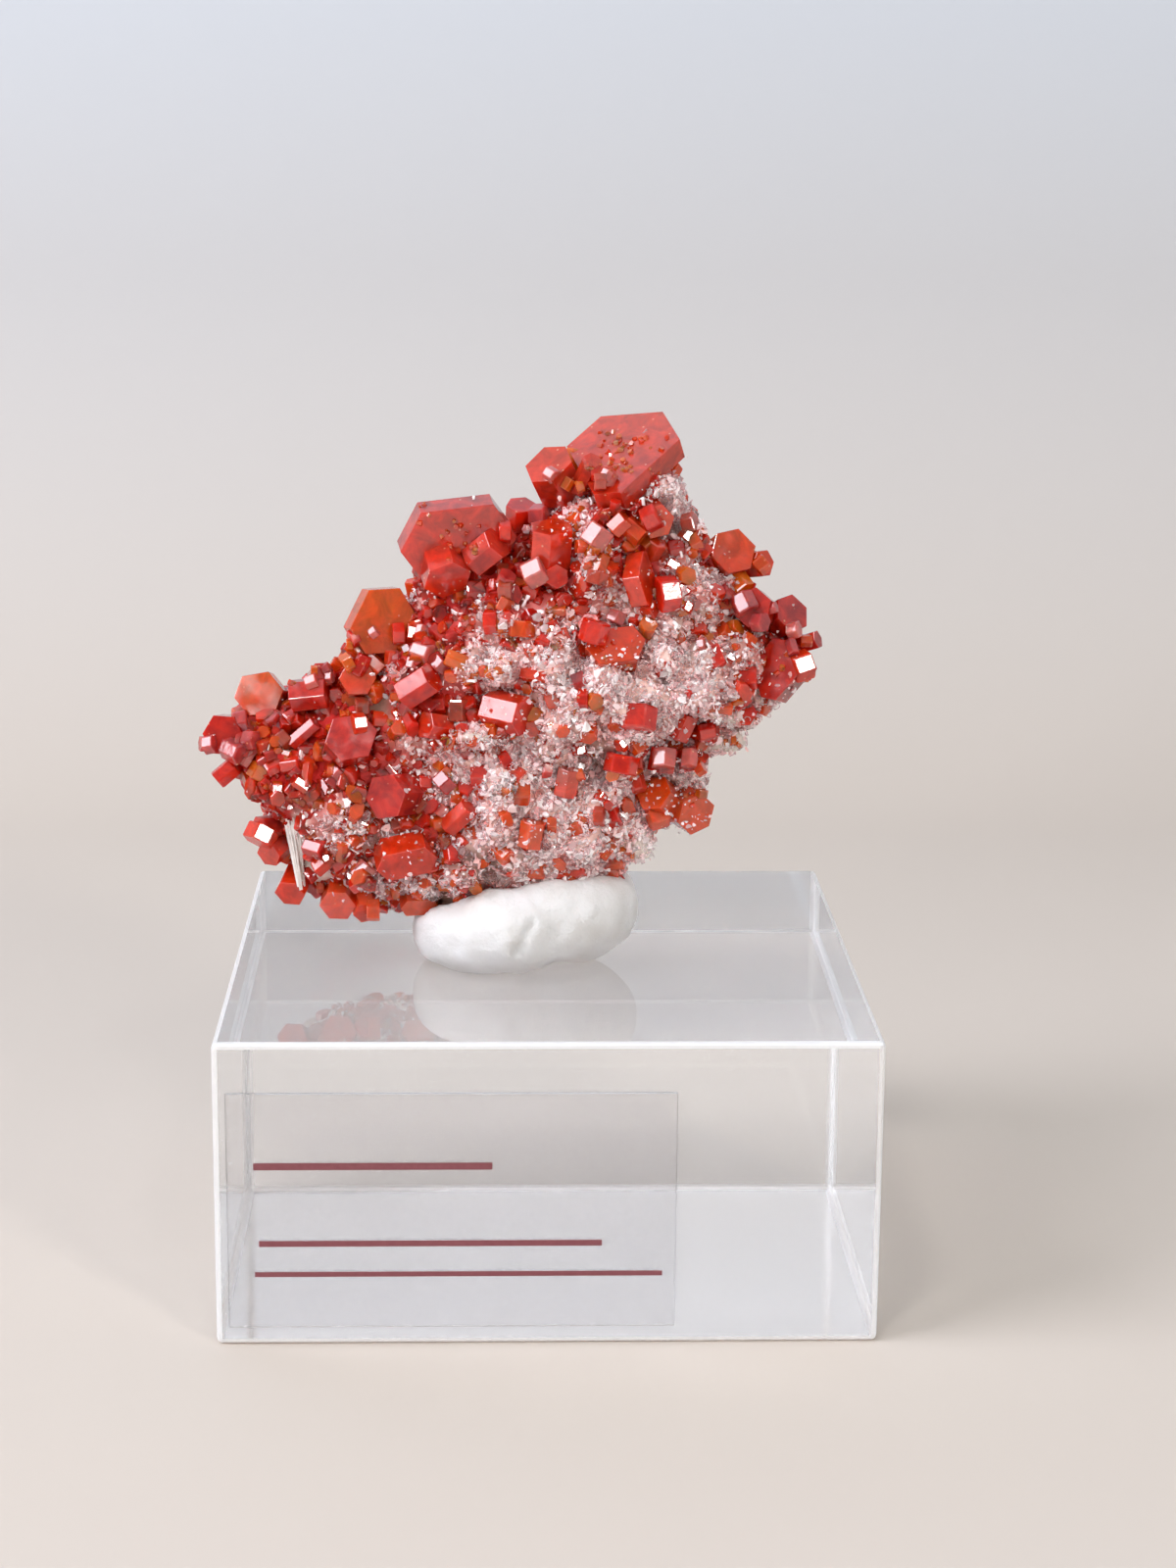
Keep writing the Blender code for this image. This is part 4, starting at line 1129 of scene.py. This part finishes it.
# %% Sizes of the druse, as half widths and distances in mm
DRUSE_BACK = 0.35  # no druse where the ground faces back more than this
LUMPS_ON_DRUSE, LUMPS_ON_BROWN = 0.004, 0.01
LUMP_REACH, LUMP_SLENDER, LUMP_UPRIGHT, LUMP_LIFT = (0.25, 0.6), (1.2, 2.6), 0.5, 0.2
BROWN_CLEARS = 0.8
STRAY_BLADES, FULL_DRUSE = 0.015, 0.75  # chance of a blade outside and inside the zones
WHITE_DRUSE = 0.7  # only the three whitest colours grow where a zone is stronger
BLADE_UPRIGHT, NARROWING = 0.2, (0.5, 1.0)
CURL_SHARE, CURL_REACH, CURL_LENGTH, CURL_LIFT = 0.1, (0.1, 0.3), (0.8, 2.2), (0.1, 0.5)
FINE_SHARE, FINE_REACH, COARSE_REACH = 0.75, (0.09, 0.22), (0.22, 0.4)
BLADE_LENGTH, BLADE_LIFT = (0.4, 2.2), (0.0, 0.32)
LUMP_BEVEL = 0.06  # of the lump's half width

# %% Druse over the front
blades, curls, lumps = [], [], []
for point, normal, share in places:
    if normal.y > DRUSE_BACK:
        continue
    x, z = front_place(point)
    brown = in_zones(BROWN_ZONES, x, z)
    druse = in_zones(DRUSE_ZONES, x, z)
    on_ground = share == 1.0
    if on_ground and chance.random() < LUMPS_ON_DRUSE * druse + LUMPS_ON_BROWN * brown:
        reach = chance.uniform(*LUMP_REACH)
        size = Vector((reach, reach, reach * chance.uniform(*LUMP_SLENDER))) * MM
        axis = (normal * LUMP_UPRIGHT + any_direction(chance)).normalized()
        centre = point + normal * LUMP_LIFT * MM
        lumps.append((placed(centre, turned_to(axis, 0.0), size), LUMP_TINT))
    druse *= 1.0 - BROWN_CLEARS * brown
    if chance.random() > share * (STRAY_BLADES + FULL_DRUSE * druse):
        continue
    axis = (normal * BLADE_UPRIGHT + any_direction(chance)).normalized()
    rotation = turned_to(axis, chance.uniform(0, 2 * math.pi))
    tint = chance.choice(DRUSE_TINTS[:3] if druse > WHITE_DRUSE else DRUSE_TINTS)
    if on_ground and chance.random() < CURL_SHARE:
        group, lengths, lifts = curls, CURL_LENGTH, CURL_LIFT
        reach = chance.uniform(*CURL_REACH)
    else:
        group, lengths, lifts = blades, BLADE_LENGTH, BLADE_LIFT
        reach = chance.uniform(*(FINE_REACH if chance.random() < FINE_SHARE else COARSE_REACH))
        reach *= 1.0 if on_ground else CRYSTAL_SIZE
    size = Vector((
        reach, reach * chance.uniform(*NARROWING), reach * chance.uniform(*lengths)))
    centre = point + normal * chance.uniform(*lifts) * MM
    group.append((placed(centre, rotation, size * MM), tint))
print("blades, curls and lumps:", len(blades), len(curls), len(lumps))

# %% Joining the druse
for name, template, group, smooth, finish in (
    ("clear_druse_blades", blade_template(), blades[::2], False, clear_finish),
    ("milky_druse_blades", blade_template(), blades[1::2], False, milky_finish),
    ("druse_curls", curl_template(), curls, True, clear_finish),
):
    mesh = joined_copies(template, *zip(*group), smooth=smooth)
    new_piece(name, mesh, finish)
lump_mesh = joined_copies(prism_template(LUMP_BEVEL), *zip(*lumps))
new_piece("clear_lumps", lump_mesh, lump_finish)

# %% [markdown]
# ## Label
# The label is a clear self-adhesive film (polypropylene), printed in maroon. Three plain
# ruled lines stand for its print. Ink could be a colour on the film, but as thin bars of
# their own the lines keep sharp ends, stay opaque, and cast their shadow in the block.

# %% Label film and its ruled lines
LABEL_LOW, LABEL_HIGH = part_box("label_film")
FILM_IOR, FILM_EDGE = 1.49, 0.05 * MM
SPECK_OF_TONER = 0.4  # mm; real toner is finer, and wouldn't show
# left end, right end, height of the middle, and thickness of each line in mm
INK_ROWS = [(-19.8, -3.8, 12.85, 0.5), (-19.5, 3.6, 7.35, 0.42), (-19.8, 7.7, 5.15, 0.36)]
INK_THICKNESS = 0.02 * MM


def clear_film():
    """Thin clear polypropylene film, fully clear and a little glossier than the block."""
    material, shader = new_material("clear_film")
    plug(material, shader, {
        "Base Color": colour("#fbfbfc"), "Roughness": 0.02, "IOR": FILM_IOR,
        "Transmission Weight": 1.0,
    })
    return material


def maroon_ink():
    """Matt maroon toner on film."""
    material, shader = new_material("maroon_ink")
    place = add_node(material, "TexCoord").outputs["Object"]
    speck = add_node(material, "TexNoise", {
        "Vector": place, "Scale": pattern_scale(SPECK_OF_TONER), "Detail": 2.0})
    paint = add_node(material, "Mix", {
        0: speck.outputs["Fac"], 6: colour("#7a3d44"), 7: colour("#8f5259")},
        data_type="RGBA")
    plug(material, shader, {"Base Color": paint.outputs[2], "Roughness": 0.6})
    return material


film_mesh = mesh_from(rounded_box(LABEL_LOW, LABEL_HIGH, FILM_EDGE, 1))
new_piece("label_film_clear", film_mesh, clear_film(), ["label_film"])
ink = maroon_ink()
for row, (left, right, height, thick) in enumerate(INK_ROWS):
    low = Vector((left * MM, LABEL_LOW.y - INK_THICKNESS, (height - thick / 2) * MM))
    high = Vector((right * MM, LABEL_LOW.y, (height + thick / 2) * MM))
    new_piece(
        f"label_rule_{row + 1}", mesh_from(rounded_box(low, high, INK_THICKNESS / 4, 1)),
        ink)

# %% [markdown]
# ## Floor and backdrop
# A pale matt floor sweeps up into a pale wall without an edge, so nothing but light and
# soft colour stands behind the clear block. It is one profile, extruded sideways.

# %% Floor and backdrop, in metres
FLOOR_GAP = 0.05 * MM
SWEEP_START, SWEEP_RADIUS, SWEEP_STEPS = 0.12, 0.06, 24
WALL_HEIGHT, STAGE_HALF_WIDTH, FLOOR_FRONT = 0.7, 0.6, -0.6
WALL_COLOUR_FROM = 0.13  # the height at which the floor's colour has given way


def plain_stage():
    """Matt card: warm grey on the floor, and a paler cool wall above."""
    material, shader = new_material("plain_stage")
    place = add_node(material, "TexCoord").outputs["Object"]
    height = add_node(material, "SeparateXYZ", {"Vector": place}).outputs["Z"]
    climb = add_node(material, "MapRange", {
        "Value": height, "From Min": 0.0, "From Max": WALL_COLOUR_FROM})
    paint = add_node(material, "Mix", {
        0: climb.outputs["Result"], 6: colour("#cbc1b7"), 7: colour("#d4dfec")},
        data_type="RGBA")
    plug(material, shader, {"Base Color": paint.outputs[2], "Roughness": 0.9})
    return material


def make_stage():
    """One sheet: the floor, a round sweep and the wall."""
    form = bmesh.new()
    profile = [(FLOOR_FRONT, 0.0), (SWEEP_START, 0.0)]
    for step in range(1, SWEEP_STEPS + 1):
        turn = step / SWEEP_STEPS * math.pi / 2
        profile.append((
            SWEEP_START + SWEEP_RADIUS * math.sin(turn),
            SWEEP_RADIUS * (1 - math.cos(turn)),
        ))
    profile.append((SWEEP_START + SWEEP_RADIUS, WALL_HEIGHT))
    line = [form.verts.new((-STAGE_HALF_WIDTH, y, z - FLOOR_GAP)) for y, z in profile]
    edges = [form.edges.new(pair) for pair in zip(line, line[1:])]
    sheet = bmesh.ops.extrude_edge_only(form, edges=edges)["geom"]
    moved = [item for item in sheet if isinstance(item, bmesh.types.BMVert)]
    bmesh.ops.translate(form, vec=(2 * STAGE_HALF_WIDTH, 0, 0), verts=moved)
    bmesh.ops.recalc_face_normals(form, faces=form.faces)
    for face in form.faces:
        face.smooth = True
    return mesh_from(form)


stage_sheet = bpy.data.objects.new("stage_sheet", make_stage())
stage_sheet.data.materials.append(plain_stage())
bpy.context.scene.collection.objects.link(stage_sheet)
print("stage faces:", len(stage_sheet.data.polygons))

# %% [markdown]
# ## Light
# Crystals show what they mirror, so the light is planned as what the faces see: a dim
# room that is brighter above and behind, one small window on the left for the broad
# pink sheen, and a lamp with a few small bright spots for hard white glints. One large
# soft light would be simpler, but it lays a milky veil over every red face.

# %% Light of the room
world = bpy.data.worlds.new("soft_room")
bpy.context.scene.world = world
world.use_nodes = True
way = add_node(world, "SeparateXYZ", {
    "Vector": add_node(world, "TexCoord").outputs["Generated"]})
from_above = add_node(world, "MapRange", {
    "Value": way.outputs["Z"], "From Min": -0.2, "From Max": 0.8,
    "To Min": 0.5, "To Max": 1.0})
from_behind = add_node(world, "MapRange", {
    "Value": way.outputs["Y"], "From Min": -0.9, "From Max": 0.3,
    "To Min": 0.3, "To Max": 0.95})
strength = add_node(world, "Math", {
    0: from_above.outputs["Result"], 1: from_behind.outputs["Result"]},
    operation="MULTIPLY")
plug(world, world.node_tree.nodes["Background"], {
    "Color": colour("#eceef1"), "Strength": strength.outputs["Value"]})
print("room light nodes:", len(world.node_tree.nodes))

# %% Window, lamp and spots
AIM = Vector((0, 0, 0.04))
# name, place in metres, width in metres, power in watts, colour
LIGHTS = [
    ("window", WINDOW_PLACE, 0.4, 3.7, "#f3f5ff"),
    ("lamp", LAMP_PLACE, 0.08, 0.8, "#fffaf2"),
    ("spot", (-0.12, -0.3, 0.5), 0.06, 0.5, "#ffffff"),
    ("glint_left", (-0.3, -0.5, 0.2), 0.05, 0.3, "#ffffff"),
    ("glint_right", (0.12, -0.5, 0.42), 0.05, 0.3, "#ffffff"),
]


def soft_light(name, place, size, power, tint):
    """A square area light that faces the specimen."""
    lamp = bpy.data.lights.new(name, "AREA")
    lamp.size = size
    lamp.energy = power
    lamp.color = colour(tint)[:3]
    holder = bpy.data.objects.new(name, lamp)
    bpy.context.scene.collection.objects.link(holder)
    holder.location = place
    aim = AIM - holder.location
    holder.rotation_euler = aim.to_track_quat("-Z", "Y").to_euler()


for row in LIGHTS:
    soft_light(*row)
print("lights:", len(LIGHTS))

# %% [markdown]
# ## Camera
# The camera stands at the eye from which all places were written, and a short telephoto
# lens keeps the block's sides nearly parallel. Light crosses many clear blades before it
# comes out of the druse, so it may bounce more often than Blender lets it by default.

# %% Camera
LENS, SENSOR_WIDTH = 69.35, 36.0  # mm
LIGHT_BOUNCES = 32
camera = bpy.data.objects.new("camera", bpy.data.cameras.new("camera"))
bpy.context.scene.collection.objects.link(camera)
camera.data.lens = LENS
camera.data.sensor_width = SENSOR_WIDTH
camera.location = EYE
camera.rotation_euler = (
    Matrix.Rotation(-math.radians(CAMERA_YAW), 3, "Z")
    @ Matrix.Rotation(math.radians(90 - CAMERA_PITCH), 3, "X")
    @ Matrix.Rotation(math.radians(CAMERA_ROLL), 3, "Z")
).to_euler()
bpy.context.scene.camera = camera
bpy.context.scene.view_settings.view_transform = "Standard"
for kind in ("max_bounces", "diffuse_bounces", "glossy_bounces", "transmission_bounces"):
    setattr(bpy.context.scene.cycles, kind, LIGHT_BOUNCES)
bpy.context.scene.cycles.blur_glossy = 0.0
print("camera:", camera.location[:])
